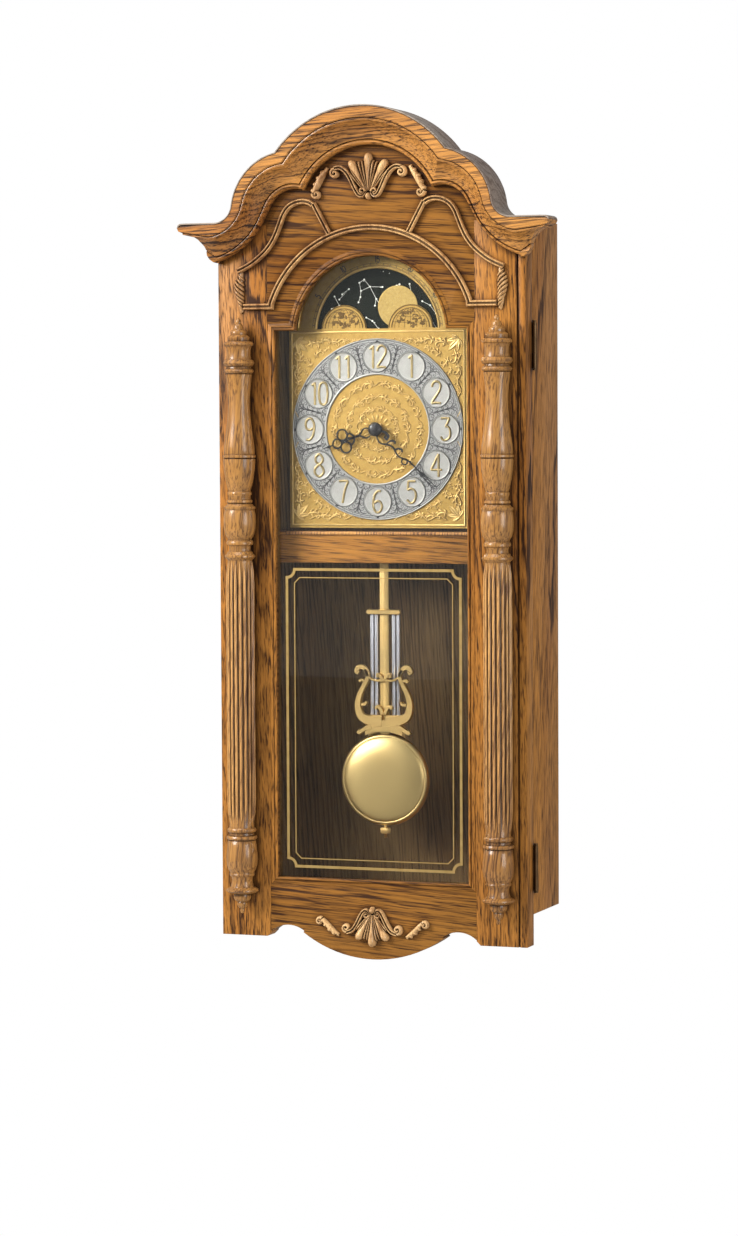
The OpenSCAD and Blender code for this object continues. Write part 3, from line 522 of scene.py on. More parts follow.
def moulded_finish(name, colour, worn, rough, grain=900, depth=0.0002, shine=0.4):
    """Moulded or pressed material with a fine skin and slightly uneven colour."""
    mat = bpy.data.materials.new(name)
    mat.use_nodes = True
    nodes, links = mat.node_tree.nodes, mat.node_tree.links
    nodes.clear()
    where = nodes.new("ShaderNodeTexCoord")
    where.label = "Place on the piece"
    skin = nodes.new("ShaderNodeTexNoise")
    skin.label = "Fine skin"
    skin.inputs["Scale"].default_value = grain
    skin.inputs["Detail"].default_value = 3
    uneven = nodes.new("ShaderNodeTexNoise")
    uneven.label = "Uneven colour"
    uneven.inputs["Scale"].default_value = 40
    uneven.inputs["Detail"].default_value = 3
    tone = nodes.new("ShaderNodeMix")
    tone.label = "New and worn colour"
    tone.data_type = "RGBA"
    tone.inputs["A"].default_value = (*colour, 1)
    tone.inputs["B"].default_value = (*worn, 1)
    gloss = nodes.new("ShaderNodeMapRange")
    gloss.label = "Uneven gloss"
    gloss.inputs["To Min"].default_value = rough - 0.08
    gloss.inputs["To Max"].default_value = rough + 0.12
    bump = nodes.new("ShaderNodeBump")
    bump.label = "Depth of the skin"
    bump.inputs["Strength"].default_value = 0.25
    bump.inputs["Distance"].default_value = depth
    surface = nodes.new("ShaderNodeBsdfPrincipled")
    surface.label = "Moulded material"
    surface.inputs["Specular IOR Level"].default_value = shine
    end = nodes.new("ShaderNodeOutputMaterial")
    for row, (effect, group) in enumerate((
        ("Skin", (where, skin, bump)),
        ("Colour and gloss", (uneven, tone, gloss)),
        ("Surface", (surface, end)),
    )):
        holder = nodes.new("NodeFrame")
        holder.label = effect
        for step, node in enumerate(group):
            node.parent = holder
            node.location = (210 * step, -320 * row)
    links.new(where.outputs["Object"], skin.inputs["Vector"])
    links.new(where.outputs["Object"], uneven.inputs["Vector"])
    links.new(uneven.outputs["Fac"], tone.inputs["Factor"])
    links.new(uneven.outputs["Fac"], gloss.inputs["Value"])
    links.new(skin.outputs["Fac"], bump.inputs["Height"])
    links.new(tone.outputs["Result"], surface.inputs["Base Color"])
    links.new(gloss.outputs["Result"], surface.inputs["Roughness"])
    links.new(bump.outputs["Normal"], surface.inputs["Normal"])
    links.new(surface.outputs["BSDF"], end.inputs["Surface"])
    return mat


zinc_steel = metal_finish("zinc_steel", (0.55, 0.56, 0.57), (0.3, 0.3, 0.31), 0.34, 0.3)
dark_brass = metal_finish("antique_brass", (0.16, 0.095, 0.045), (0.035, 0.022, 0.014), 0.42)
gear_brass = metal_finish("gear_brass", (0.78, 0.55, 0.23), (0.42, 0.26, 0.1), 0.3)
black_case = moulded_finish("black_moulding", (0.02, 0.02, 0.021), (0.04, 0.04, 0.042), 0.5)
white_case = moulded_finish("white_moulding", (0.75, 0.75, 0.72), (0.6, 0.59, 0.55), 0.42)
cell_wrap = moulded_finish("cell_sleeve", (0.05, 0.16, 0.08), (0.03, 0.1, 0.05), 0.22, 200, 0.00005)
cone_paper = moulded_finish("cone_paper", (0.035, 0.034, 0.033), (0.07, 0.066, 0.06), 0.85, 600, 0.0006)
lead_cover = moulded_finish("lead_cover", (0.36, 0.03, 0.02), (0.25, 0.02, 0.015), 0.4)
ferrite = moulded_finish("ferrite", (0.06, 0.06, 0.062), (0.1, 0.1, 0.1), 0.6, 700, 0.0004)
for node, mat in (
    ("hanger_plate", zinc_steel), ("hanger_screws", zinc_steel), ("cover_screws", zinc_steel),
    ("rear_cover", black_case), ("movement_case", black_case), ("movement_back", black_case),
    ("set_knob", black_case), ("batteries", cell_wrap), ("speaker_frame", zinc_steel),
    ("speaker_cone", cone_paper), ("speaker_magnet", ferrite), ("speaker_lead", lead_cover),
    ("chime_switch", white_case), ("volume_switch", white_case), ("minute_arbor", gear_brass),
    ("hour_wheel", gear_brass), ("reduction_wheel", gear_brass), ("centre_nut", gear_brass),
    ("dial_posts", dark_brass), ("moon_post", dark_brass), ("case_hinge_leaves", dark_brass),
    ("door_hinge_leaves", dark_brass), ("hinge_pins", dark_brass), ("case_hinge_screws", dark_brass),
    ("door_hinge_screws", dark_brass), ("catch_magnet", ferrite), ("strike_plate", zinc_steel),
    ("dial_board", panel_oak), ("glass_beads", panel_oak),
):
    finish_node(node, mat)


# ---- Door frame ----
# Two stiles, an arched top rail and a shaped bottom rail of solid oak, joined and glued.
# A small moulding is worked round the opening and catches the light beside the glass.
soft_copy("door_stile_left", "stile_left", upright_oak, "door")
soft_copy("door_stile_right", "stile_right", upright_oak, "door")
rail_oak = oak_finish("oak_rails", (0, sideways - tilt, tilt), (0.09, 0.03, 0.055), (0.36, 0.158, 0.032),
                      rings=150)
soft_copy("door_bottom_rail", "rail_bottom", rail_oak, "door")
soft_copy("door_top_rail", "rail_top", rail_oak, "door", 0.5)


def new_piece(name, points, faces, mat, sharp=38, merge=0.00001):
    """A closed piece from its points and faces, with outward normals, smooth up to the sharp angle."""
    mesh = bpy.data.meshes.new(name)
    mesh.from_pydata([tuple(p) for p in points], [], faces)
    work = bmesh.new()
    work.from_mesh(mesh)
    bmesh.ops.remove_doubles(work, verts=work.verts, dist=merge)
    bmesh.ops.dissolve_degenerate(work, dist=merge, edges=work.edges)
    bmesh.ops.recalc_face_normals(work, faces=work.faces)
    work.to_mesh(mesh)
    work.free()
    mesh.materials.append(mat)
    mesh.shade_smooth()
    mesh.set_sharp_from_angle(angle=math.radians(sharp))
    piece = bpy.data.objects.new(name, mesh)
    bpy.context.scene.collection.objects.link(piece)
    return piece


def skin_rings(rings, closed_round=True, closed_along=False):
    """Faces between rings of equal count; open runs get a flat end at each side."""
    count = len(rings[0])
    points = [p for ring in rings for p in ring]
    faces = []
    runs = len(rings) if closed_along else len(rings) - 1
    for i in range(runs):
        j = (i + 1) % len(rings)
        for k in range(count if closed_round else count - 1):
            m = (k + 1) % count
            faces.append((i * count + k, i * count + m, j * count + m, j * count + k))
    if not closed_along:
        faces.append(tuple(range(count)))
        faces.append(tuple((len(rings) - 1) * count + k for k in range(count)))
    return points, faces


def add_skin(points, faces, rings, closed_along=False):
    """Adds the skin over these rings to a piece's points and faces."""
    new_points, new_faces = skin_rings(rings, True, closed_along)
    start = len(points)
    points.extend(new_points)
    faces.extend(tuple(v + start for v in face) for face in new_faces)


def from_start(points):
    """Points of a part that will be repeated, measured from the middle of the door's foot."""
    return [p - at(0, 0, 0) for p in points]


def facing_rings(cx, cz, rows, count):
    """Rings of a turning that faces the room; each row is a radius and a depth."""
    turns = [2 * math.pi * k / count for k in range(count)]
    return [[at(cx + r * math.cos(a), y, cz + r * math.sin(a)) for a in turns] for r, y in rows]


def upright_rings(cx, cy, rows, count):
    """Rings of a turning that stands upright; each row is a radius and a height."""
    turns = [2 * math.pi * k / count for k in range(count)]
    return [[at(cx + r * math.cos(a), cy + r * math.sin(a), z) for a in turns] for r, z in rows]


opening_half = 99.5
opening_foot = 59
opening_shoulder = 597
arch_centre = 590
arch_radius = 78.5


def opening_outline(out):
    """The glazed opening, grown outward by out: straight sides, square shoulders and a round head."""
    side = opening_half + out
    bottom = opening_foot - out
    shoulder = opening_shoulder + out
    head = arch_radius + out
    start = math.asin((shoulder - arch_centre) / head)
    arch = [start + (math.pi - 2 * start) * k / 48 for k in range(49)]
    round_head = [(head * math.cos(a), arch_centre + head * math.sin(a)) for a in arch]
    return [(side, bottom), (side, shoulder)] + round_head + [(-side, shoulder), (-side, bottom)]


sight_section = (
    (-0.3, -6), (-0.3, 0.3), (0.2, 1.1), (1.0, 1.5), (1.9, 1.3), (2.5, 0.5), (2.9, 0.4), (3.2, 1.0),
    (4.2, 0.95), (5.6, 0.6), (6.6, 0.25), (7.2, -0.3), (4, -1.5),
)
lengths = [[at(x, -height, z) for x, z in opening_outline(out)] for out, height in sight_section]
rings = [[length[k] for length in lengths] for k in range(len(lengths[0]))]
sight_bead = new_piece("sight_moulding", *skin_rings(rings, True, True), upright_oak, 30)
sight_bead.data.materials.append(rail_oak)
for face in sight_bead.data.polygons:
    upright_side = abs(face.center.x) > at(opening_half - 0.2, 0, 0).x
    between_ends = at(0, 0, opening_foot + 0.2).z < face.center.z < at(0, 0, opening_shoulder - 0.2).z
    beside_glass = upright_side and between_ends
    face.material_index = 0 if beside_glass else 1
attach(sight_bead, "door")


# ---- Crown moulding and edge band ----
# A deep moulding shaped from thick oak follows the arched head and turns the corner at each ear.
# Its thin outer edge is covered with a bent strip of grey-brown veneer.
def between(a, b, t):
    return a + (b - a) * t


def arc_points(cx, cz, radius, start, stop, count):
    """Points round a circle from start to stop degrees."""
    turns = [math.radians(between(start, stop, k / count)) for k in range(count + 1)]
    return [(cx + radius * math.cos(a), cz + radius * math.sin(a)) for a in turns]


crown_centre = 702


def crown_line(t):
    """Right half of the crown's outline, outer edge at t 0 and inner edge at t 1."""
    main = between(110, 73, t)
    centre = Vector((0, crown_centre))
    shoulder = Vector((between(74.6, 76, t), between(710.3, 706, t)))
    shoulder_r = between(59.6, 28.5, t)
    apart = shoulder - centre
    along = (main ** 2 - shoulder_r ** 2 + apart.length ** 2) / (2 * apart.length)
    off = math.sqrt(main ** 2 - along ** 2)
    u = apart.normalized()
    cusp = centre + u * along + Vector((-u.y, u.x)) * off
    turn = between(math.degrees(math.atan2(720 - 710.3, 151.6 - 74.6)), 28.5, t)
    main_end = math.degrees(math.atan2(cusp.y - crown_centre, cusp.x))
    shoulder_start = math.degrees(math.atan2(cusp.y - shoulder.y, cusp.x - shoulder.x))
    hollow_end = between(270, 252, t)
    return (
        arc_points(0, crown_centre, main, 90, main_end, 30)
        + arc_points(shoulder.x, shoulder.y, shoulder_r, shoulder_start, turn, 20)[1:]
        + arc_points(between(151.6, 180, t), between(720, 741.5, t), between(18, 80, t),
                     180 + turn, hollow_end, 14)[1:]
    )


# Each row of the section: place from outer to inner edge, projection, and the ear's own outline.
crown_section = [
    (0.035, 27.2, 190.2, 699.5), (0.06, 28, 190.5, 697.5), (0.3, 27.8, 189, 694.2), (0.33, 27, 186, 693),
    (0.34, 25.6, 185.2, 692.6), (0.355, 26.5, 185.5, 692), (0.38, 26.7, 184.6, 691),
    (0.41, 26.0, 183.2, 690.6), (0.425, 24.4, 182, 692.1), (0.45, 22.8, 180, 691.2),
    (0.5, 20, 176.8, 689.6), (0.58, 16.6, 172.9, 686.4), (0.66, 13.8, 170, 682.6),
    (0.74, 11.6, 168.2, 679.8), (0.82, 10.2, 167.4, 677.4), (0.86, 9.9, 167.2, 676.6),
    (0.87, 8.2, 166.4, 676.6), (0.885, 9.4, 167, 675), (0.91, 10.3, 166.2, 671.2),
    (0.94, 10.4, 163.6, 667.4), (0.97, 9.4, 159.8, 664.4), (0.99, 7.4, 157, 663.6),
    (1.0, 5, 155.5, 663.5), (1.0, -1, 153, 664), (0.5, -1, 150, 680), (0.035, -1, 150, 699.5),
]


def both_halves(half):
    """A run of rings from the middle outward, with its mirror image joined on."""
    mirrored = [[Vector((-p.x, p.y, p.z)) for p in ring] for ring in half[:0:-1]]
    return mirrored + half


lines = [crown_line(t) for t, out, ear_x, ear_z in crown_section]
half = [
    [at(lines[k][i][0], -crown_section[k][1], lines[k][i][1]) for k in range(len(lines))]
    for i in range(len(lines[0]))
]
half.append([at(x, -out, z) for t, out, x, z in crown_section])
half.append([at(x, 0.2, z) for t, out, x, z in crown_section])
crown_oak = oak_finish("oak_crown", (tilt, sideways + tilt, 0), (0.05, 0.08, 0.03), (0.68, 0.31, 0.076),
                       rings=165, gloss=0.3)
crown = new_piece("crown_moulding_run", *skin_rings(both_halves(half)), crown_oak, 30)
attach(crown, "door")
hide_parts("crown_moulding")

# The strip runs down to the back of the door, but its ears stop at the door's face.
ear_top = [(158, 702), (166, 702), (174, 702), (182, 702), (187.5, 701.8), (189.6, 700.6), (190.5, 698.4)]
ear_under = [(158, 700.6), (166, 700.6), (174, 700.6), (182, 700.6), (187, 700.4), (188.6, 699.4),
             (189.3, 698.2)]
outer = crown_line(0) + ear_top
inner = crown_line(0.035) + ear_under
door_back = 20.5
ear_back = 0.4
ear_start = 160
half = []
for (ox, oz), (ix, iz) in zip(outer, inner):
    back = door_back if ox < ear_start else ear_back
    half.append([at(ox, -27.6, oz), at(ox, back - 0.5, oz), at(ox, back, oz - 0.5), at(ix, back, iz),
                 at(ix, -28, iz), at(ox, -28, oz - 0.5)])
edge_veneer = oak_finish("edge_strip", (0, sideways, 0), (0.14, 0.3, 0), (0.37, 0.305, 0.25),
                         (0.17, 0.13, 0.1), 90)
edge_band = new_piece("crown_edge_strip", *skin_rings(both_halves(half)), edge_veneer, 30)
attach(edge_band, "door")
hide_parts("crown_edge_band")


# ---- Columns ----
# Each stile carries a turned oak column, split down its length and glued on.
# Rings and vases were turned on the lathe, then the shaft was cut with round reeds.
column_rows = (
    (22.8, 0), (23.6, 1.6), (25.5, 2.4), (27.4, 1.9), (28.6, 3.4), (31, 5), (33.5, 5.2), (34.6, 4.7),
    (36, 7.2), (38.8, 8.6), (41.5, 8.5), (42.4, 8.1), (43, 10.5), (44.2, 14.2), (45.8, 16.2), (47.2, 16),
    (48.4, 14.2), (49.6, 11.6), (53, 10.6), (56.5, 10.2), (59.5, 10.7), (61, 12.2), (62.3, 12.6),
    (63.6, 12), (64.6, 12.2), (67, 13.6), (71, 14.9), (77, 15.5), (83, 15.2), (90, 14.4), (95.4, 13.9),
    (96.2, 13.1), (97, 14.6), (98.6, 15.2), (100.2, 14.5), (101, 12.4), (103, 12.1), (104.2, 13.8),
    (106, 14.4), (107.6, 13.8), (108.6, 12.4), (110.4, 12.2), (112, 12), (372, 12), (373.6, 13.4),
    (375.4, 15), (377, 15), (378.2, 13.2), (380.2, 12.4), (381.2, 10.8), (384, 10.6), (386.6, 11.2),
    (387.6, 13), (389.8, 13.3), (391.4, 12.4), (392.4, 11.6), (393.8, 12.2), (397, 14.2), (403, 15.5),
    (410, 15.9), (417, 15.6), (421.6, 14.6), (422.6, 15.4), (424.4, 15.6), (425.6, 13.8), (428, 11.8),
    (429, 12.8), (431, 12.6), (432, 11), (435, 11), (437, 11.9), (439, 11.8), (440, 10.9), (444, 12.2),
    (452, 13.9), (461, 15.2), (468, 15.7), (471.4, 15.6), (472.2, 14.7), (473, 16), (475, 16),
    (475.9, 14.9), (477, 15.3), (484, 14.9), (496, 13.3), (508, 11.8), (520, 10.9), (532, 10.8),
    (542, 11.6), (550, 12.6), (554.2, 13), (555, 12.4), (555.8, 14), (557.6, 14.8), (559.4, 13.8),
    (560.2, 12.4), (561.6, 12.2), (562.6, 14), (565.4, 15.4), (568.2, 14.2), (569, 12.4), (573, 11.7),
    (578, 11.9), (581.6, 12.8), (582.6, 14.4), (584.4, 14.8), (586, 13.6), (586.8, 10.6), (588.4, 10.8),
    (590.4, 11), (592, 9.4), (593, 7.8), (595, 8), (596.8, 7.6), (598.2, 5.8), (599.2, 5), (601.2, 5),
    (602.8, 4), (604, 2.6), (606.4, 2.9), (608.4, 2), (609.8, 0),
)
column_turns = 48
column_x = 133
column_y = -11
shaft_radius = 12
reed_shape = []
reed_length = 259
reed_radius = 1.8
reed_foot = 112.6
reed_steps = 24
for step in range(reed_steps + 1):
    up = reed_foot + reed_length * step / reed_steps
    near_end = min(step, reed_steps - step)
    swell = (0.25, 0.8, 1)[min(near_end, 2)]
    reed_shape.append([
        at(reed_radius * swell * math.cos(a), 0.6 - 1.5 * reed_radius * swell * math.sin(a), up)
        for a in [math.pi * k / 8 for k in range(9)]
    ])
reed_points, reed_faces = skin_rings(reed_shape)
# The reeds take a lighter copy of the column oak: a painted highlight on their ridges against the darker
# shaft between them.
reed_highlight_oak = oak_finish("oak_reeds_painted_highlight", (tilt, -tilt, 0), (0.17, 0.05, 0.2), (0.74, 0.39, 0.125),
                      (0.22, 0.1, 0.036), 300, 0.005, recess_shade=1.0, gloss=0.5)
reed = new_piece("one_reed", from_start(reed_points), reed_faces, upright_oak, 50)


def repeat_on(name, part, places, finish):
    """Copies of one part set on a list of places, each a position, a turn and a size."""
    marks = bpy.data.meshes.new(name + "_marks")
    marks.from_pydata([tuple(p) for p, turn, size in places], [], [])
    turns = marks.attributes.new("turn", "FLOAT_VECTOR", "POINT")
    turns.data.foreach_set("vector", [v for p, turn, size in places for v in turn])
    sizes = marks.attributes.new("size", "FLOAT", "POINT")
    sizes.data.foreach_set("value", [size for p, turn, size in places])
    holder = bpy.data.objects.new(name + "_holder", marks)
    bpy.context.scene.collection.objects.link(holder)
    tree = bpy.data.node_groups.new(name + "_repeat", "GeometryNodeTree")
    tree.interface.new_socket("Marks", in_out="INPUT", socket_type="NodeSocketGeometry")
    part_socket = tree.interface.new_socket("Part", in_out="INPUT", socket_type="NodeSocketObject")
    finish_socket = tree.interface.new_socket("Finish", in_out="INPUT", socket_type="NodeSocketMaterial")
    tree.interface.new_socket("Copies", in_out="OUTPUT", socket_type="NodeSocketGeometry")
    nodes, links = tree.nodes, tree.links
    start = nodes.new("NodeGroupInput")
    start.label = "Marks, part and finish"
    shape = nodes.new("GeometryNodeObjectInfo")
    shape.label = "The part"
    turn_of = nodes.new("GeometryNodeInputNamedAttribute")
    turn_of.label = "Turn of each copy"
    turn_of.data_type = "FLOAT_VECTOR"
    turn_of.inputs["Name"].default_value = "turn"
    size_of = nodes.new("GeometryNodeInputNamedAttribute")
    size_of.label = "Size of each copy"
    size_of.data_type = "FLOAT"
    size_of.inputs["Name"].default_value = "size"
    rotation = nodes.new("FunctionNodeEulerToRotation")
    rotation.label = "Turn as a rotation"
    copies = nodes.new("GeometryNodeInstanceOnPoints")
    copies.label = "One copy on each mark"
    real = nodes.new("GeometryNodeRealizeInstances")
    real.label = "Make the copies solid"
    coat = nodes.new("GeometryNodeSetMaterial")
    coat.label = "Give them the finish"
    end = nodes.new("NodeGroupOutput")
    for step, node in enumerate((start, shape, turn_of, size_of, rotation, copies, real, coat, end)):
        node.location = (200 * step, 0)
    links.new(start.outputs["Marks"], copies.inputs["Points"])
    links.new(start.outputs["Part"], shape.inputs["Object"])
    links.new(shape.outputs["Geometry"], copies.inputs["Instance"])
    links.new(turn_of.outputs["Attribute"], rotation.inputs["Euler"])
    links.new(rotation.outputs["Rotation"], copies.inputs["Rotation"])
    links.new(size_of.outputs["Attribute"], copies.inputs["Scale"])
    links.new(copies.outputs["Instances"], real.inputs["Geometry"])
    links.new(real.outputs["Geometry"], coat.inputs["Geometry"])
    links.new(start.outputs["Finish"], coat.inputs["Material"])
    links.new(coat.outputs["Geometry"], end.inputs["Copies"])
    made = holder.modifiers.new("repeat", "NODES")
    made.node_group = tree
    made[part_socket.identifier] = part
    made[finish_socket.identifier] = finish
    bpy.context.view_layer.update()
    shown = holder.evaluated_get(bpy.context.evaluated_depsgraph_get())
    mesh = bpy.data.meshes.new_from_object(shown)
    mesh.name = name
    holder.modifiers.remove(made)
    bpy.data.objects.remove(holder)
    mesh.materials.clear()
    mesh.materials.append(finish)
    piece = bpy.data.objects.new(name, mesh)
    bpy.context.scene.collection.objects.link(piece)
    return piece


reed_count = 12
turned_oak = oak_finish("oak_columns", (tilt, -tilt, 0), (0.17, 0.05, 0.2), (0.5, 0.243, 0.065),
                        (0.13, 0.057, 0.02), 300, 0.005, recess_shade=1.0, gloss=0.5)
for side, word in ((-1, "left"), (1, "right")):
    rings = []
    for height, radius in column_rows:
        rings.append([
            at(side * column_x + radius * math.cos(a), min(0.3, column_y - radius * math.sin(a)), height)
            for a in [2 * math.pi * k / column_turns for k in range(column_turns)]
        ])
    column = new_piece("column_" + word + "_turning", *skin_rings(rings), turned_oak, 40)
    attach(column, "door")
    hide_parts("column_" + word)
    places = []
    for k in range(reed_count + 1):
        a = math.radians(-32 + 244 * k / reed_count)
        middle = at(side * column_x + shaft_radius * math.cos(a), column_y - shaft_radius * math.sin(a), 0)
        places.append((middle, (0, 0, math.pi / 2 - a), 1))
    reeds = repeat_on("column_" + word + "_reeds", reed, places, reed_highlight_oak)
    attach(reeds, "door")
bpy.data.objects.remove(reed)


# ---- Shell carvings ----
# A shell with scrolled arms and leaves is carved in lighter wood and glued above and below the glass.
# The carver cut every lobe and scroll as a rounded rib; the cuts are darkened with painted shade, which
# also stands for dark glaze left in them.
round_top = [(1, -0.12), (1, 0.1), (0.92, 0.42), (0.7, 0.74), (0.38, 0.94), (0, 1), (-0.38, 0.94),
             (-0.7, 0.74), (-0.92, 0.42), (-1, 0.1), (-1, -0.12)]
two_beads = [(1, -0.12), (1, 0.4), (0.9, 0.74), (0.68, 0.98), (0.44, 0.98), (0.22, 0.74), (0.1, 0.5),
             (-0.1, 0.5), (-0.22, 0.74), (-0.44, 0.98), (-0.68, 0.98), (-0.9, 0.74), (-1, 0.4), (-1, -0.12)]
fluted = [(1, -0.12), (1, 0.5), (0.88, 0.88), (0.72, 0.94), (0.5, 0.72), (0.28, 0.66), (0.14, 0.84),
          (0, 0.92), (-0.14, 0.84), (-0.28, 0.66), (-0.5, 0.72), (-0.72, 0.94), (-0.88, 0.88), (-1, 0.5),
          (-1, -0.12)]


def flow(knots, steps):
    """A smooth run through the knots, with steps points in each stretch."""
    if steps < 2:
        return [tuple(k) for k in knots]
    padded = [knots[0]] + list(knots) + [knots[-1]]
    run = []
    for i in range(1, len(padded) - 2):
        for step in range(steps):
            t = step / steps
            run.append(tuple(
                0.5 * (2 * b + (c - a) * t
                       + (2 * a - 5 * b + 4 * c - d) * t ** 2
                       + (3 * b - a - 3 * c + d) * t ** 3)
                for a, b, c, d in zip(*padded[i - 1:i + 3])
            ))
    run.append(tuple(knots[-1]))
    return run


def carve(points, faces, knots, base=0, steps=5, section=round_top, closed=False):
    """Adds a rib along knots of (across, up, half width, height); base is the depth it stands on."""
    run = flow(knots, steps)
    rings = []
    last = len(run) - 1
    for i, (x, z, width, height) in enumerate(run):
        if closed:
            before, after = run[i - 1], run[(i + 1) % len(run)]
        else:
            before, after = run[max(i - 1, 0)], run[min(i + 1, last)]
        into = Vector((x - before[0], z - before[1]))
        out_of = Vector((after[0] - x, after[1] - z))
        into = into.normalized() if into.length > 1e-6 else out_of.normalized()
        out_of = out_of.normalized() if out_of.length > 1e-6 else into
        middle = into + out_of
        middle = middle.normalized() if middle.length > 0.1 else into
        reach = width * min(1.8, 1 / max(0.3, middle.dot(into)))
        rings.append([
            at(x - middle.y * reach * across, base - height * up, z + middle.x * reach * across)
            for across, up in section
        ])
    add_skin(points, faces, rings, closed)


def volute(cx, cz, radius, start, turns, width, height, count=18):
    """Knots of a scroll that winds in round a centre and swells into a round eye."""
    knots = []
    for k in range(count + 1):
        t = k / count
        a = math.radians(start + 360 * turns * t)
        r = radius * (1 - 0.86 * t)
        thin, tall = between(width, width * 0.75, t), between(height, height * 1.1, t)
        knots.append((cx + r * math.cos(a), cz + r * math.sin(a), thin, tall))
    return knots


def both_ways(knots, side):
    """The same knots for the right side, or mirrored for the left."""
    return [(side * k[0], *k[1:]) for k in knots]


def shell(points, faces, base_z, way, reach, spread):
    """A fan of fluted lobes from base_z, upward for way 1 and downward for way -1."""
    for lobe in (-1.75, 0, 1.75):
        a = math.radians(spread * lobe)
        long = reach - 1.9 * abs(lobe)
        knots = []
        for t, width, height in (
            (0.12, 0.9, 3), (0.3, 1.5, 4.6), (0.5, 2.5, 5.8), (0.7, 3.6, 7.2),
            (0.85, 4.2, 8.2), (0.94, 3.5, 7.6), (0.99, 2.1, 5.6), (1.01, 0.5, 2.5),
        ):
            bend = 0.03 * lobe * long * t ** 3
            x, z = math.sin(a) * long * t + bend, base_z + way * math.cos(a) * long * t
            knots.append((x, z, width, height))
        carve(points, faces, knots, 0, 4)
    for gap in (-2.7, -2.3, -1.1, -0.65, 0.65, 1.1, 2.3, 2.7):
        a = math.radians(spread * gap)
        long = reach * 0.84 - 2.6 * max(0, abs(gap) - 1)
        knots = [
            (math.sin(a) * long * t, base_z + way * math.cos(a) * long * t, width, height)
            for t, width, height in ((0.15, 0.5, 3), (0.5, 0.9, 5.2), (0.8, 1.3, 6), (0.97, 1.0, 5),
                                     (1, 0.3, 2))
        ]
        carve(points, faces, knots, 0, 4)
    button = ((-4, 0.5, 1), (-3.2, 2.2, 5), (-0.6, 3, 7.4), (2, 2.2, 5.4), (3, 0.5, 2))
    carve(points, faces, [(0, base_z + way * up, width, height) for up, width, height in button], 0, 4)


def leaf(points, faces, spine, lean):
    """A bent leaf: a middle rib with round lobes down one edge; lean 1 or -1 picks the edge."""
    run = flow(spine, 5)
    carve(points, faces, spine, 0, 5)
    for k in range(2, len(run) - 2, 4):
        x, z, width, height = run[k]
        d = Vector((run[k + 1][0] - x, run[k + 1][1] - z)).normalized()
        out = Vector((-d.y, d.x)) * lean
        mid = Vector((x, z)) + out * (width * 0.6) + d * 0.8
        tip = Vector((x, z)) + out * (width * 1.15) + d * 1.8
        lobe = [(x, z, 1.6, height * 0.9), (mid.x, mid.y, 2.4, height), (tip.x, tip.y, 1.7, height * 0.7)]
        carve(points, faces, lobe, 0, 4)


def carving(name, replaced, base_z, way, reach, spread, root_eye, arm, arm_eye, spine, leaf_eye):
    """A whole carving: the shell, and on each side a scrolled arm and a leaf with its own scroll."""
    points, faces = [], []
    shell(points, faces, base_z, way, reach, spread)
    for side in (-1, 1):
        carve(points, faces, both_ways(volute(*root_eye), side), 0, 1)
        carve(points, faces, both_ways(arm, side), 0, 5, two_beads)
        carve(points, faces, both_ways(volute(*arm_eye), side), 0, 1)
        leaf(points, faces, both_ways(spine, side), side * way)
        carve(points, faces, both_ways(volute(*leaf_eye), side), 0, 1)
    piece = new_piece(name, points, faces, carved_oak, 50, 0.000001)
    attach(piece, "door")
    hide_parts(replaced)


carved_oak = oak_finish("carved_wood", (0, tilt, 0), (0.21, 0.06, 0.1), (0.88, 0.57, 0.265),
                        (0.46, 0.25, 0.1), 90, 0.003, recess_shade=0.72, gloss=0.3)
carving(
    "shell_top", "top_carving", base_z=726, way=1, reach=41, spread=15,
    root_eye=(6.4, 730.2, 3.4, 180, -0.9, 1.6, 5),
    arm=[(3, 730, 1.4, 3), (5.5, 726.4, 2, 5), (9.5, 727, 2.2, 6), (13.6, 733.5, 2.3, 6.4),
         (17.6, 742, 2.4, 6.6), (22.4, 749.4, 2.5, 6.6), (28.5, 753.4, 2.5, 6.4), (34.2, 752.8, 2.4, 6.2)],
    arm_eye=(34.2, 748.2, 4.6, 90, -1.3, 2.0, 6),
    spine=[(41.5, 753.5, 0.7, 2), (45, 750, 2.4, 5), (49.4, 743.6, 3.2, 6.2), (53.4, 736.4, 3.0, 6.2),
           (56.6, 730, 2.3, 5.6)],
    leaf_eye=(53.6, 728.4, 4, 10, -1.2, 1.9, 5.6),
)
carving(
    "shell_bottom", "bottom_carving", base_z=29.6, way=-1, reach=35, spread=15,
    root_eye=(6.2, 25.6, 3.2, 180, 0.9, 1.5, 4.6),
    arm=[(3, 26, 1.4, 3), (5.4, 29.6, 2, 5), (9, 28.4, 2.2, 5.6), (12.6, 22.4, 2.3, 6),
         (16.2, 15.4, 2.3, 6), (20.6, 10, 2.3, 6), (26, 8, 2.2, 5.8)],
    arm_eye=(26.6, 12, 4, -95, 1.3, 1.9, 5.6),
    spine=[(34.6, 5.6, 0.6, 2), (38, 6.6, 2, 4.6), (43, 10.4, 2.6, 5.4), (48, 15.6, 2.3, 5.4),
           (52, 19.6, 1.9, 5)],
    leaf_eye=(54.6, 17.6, 3.4, 130, -1.2, 1.8, 5.2),
)


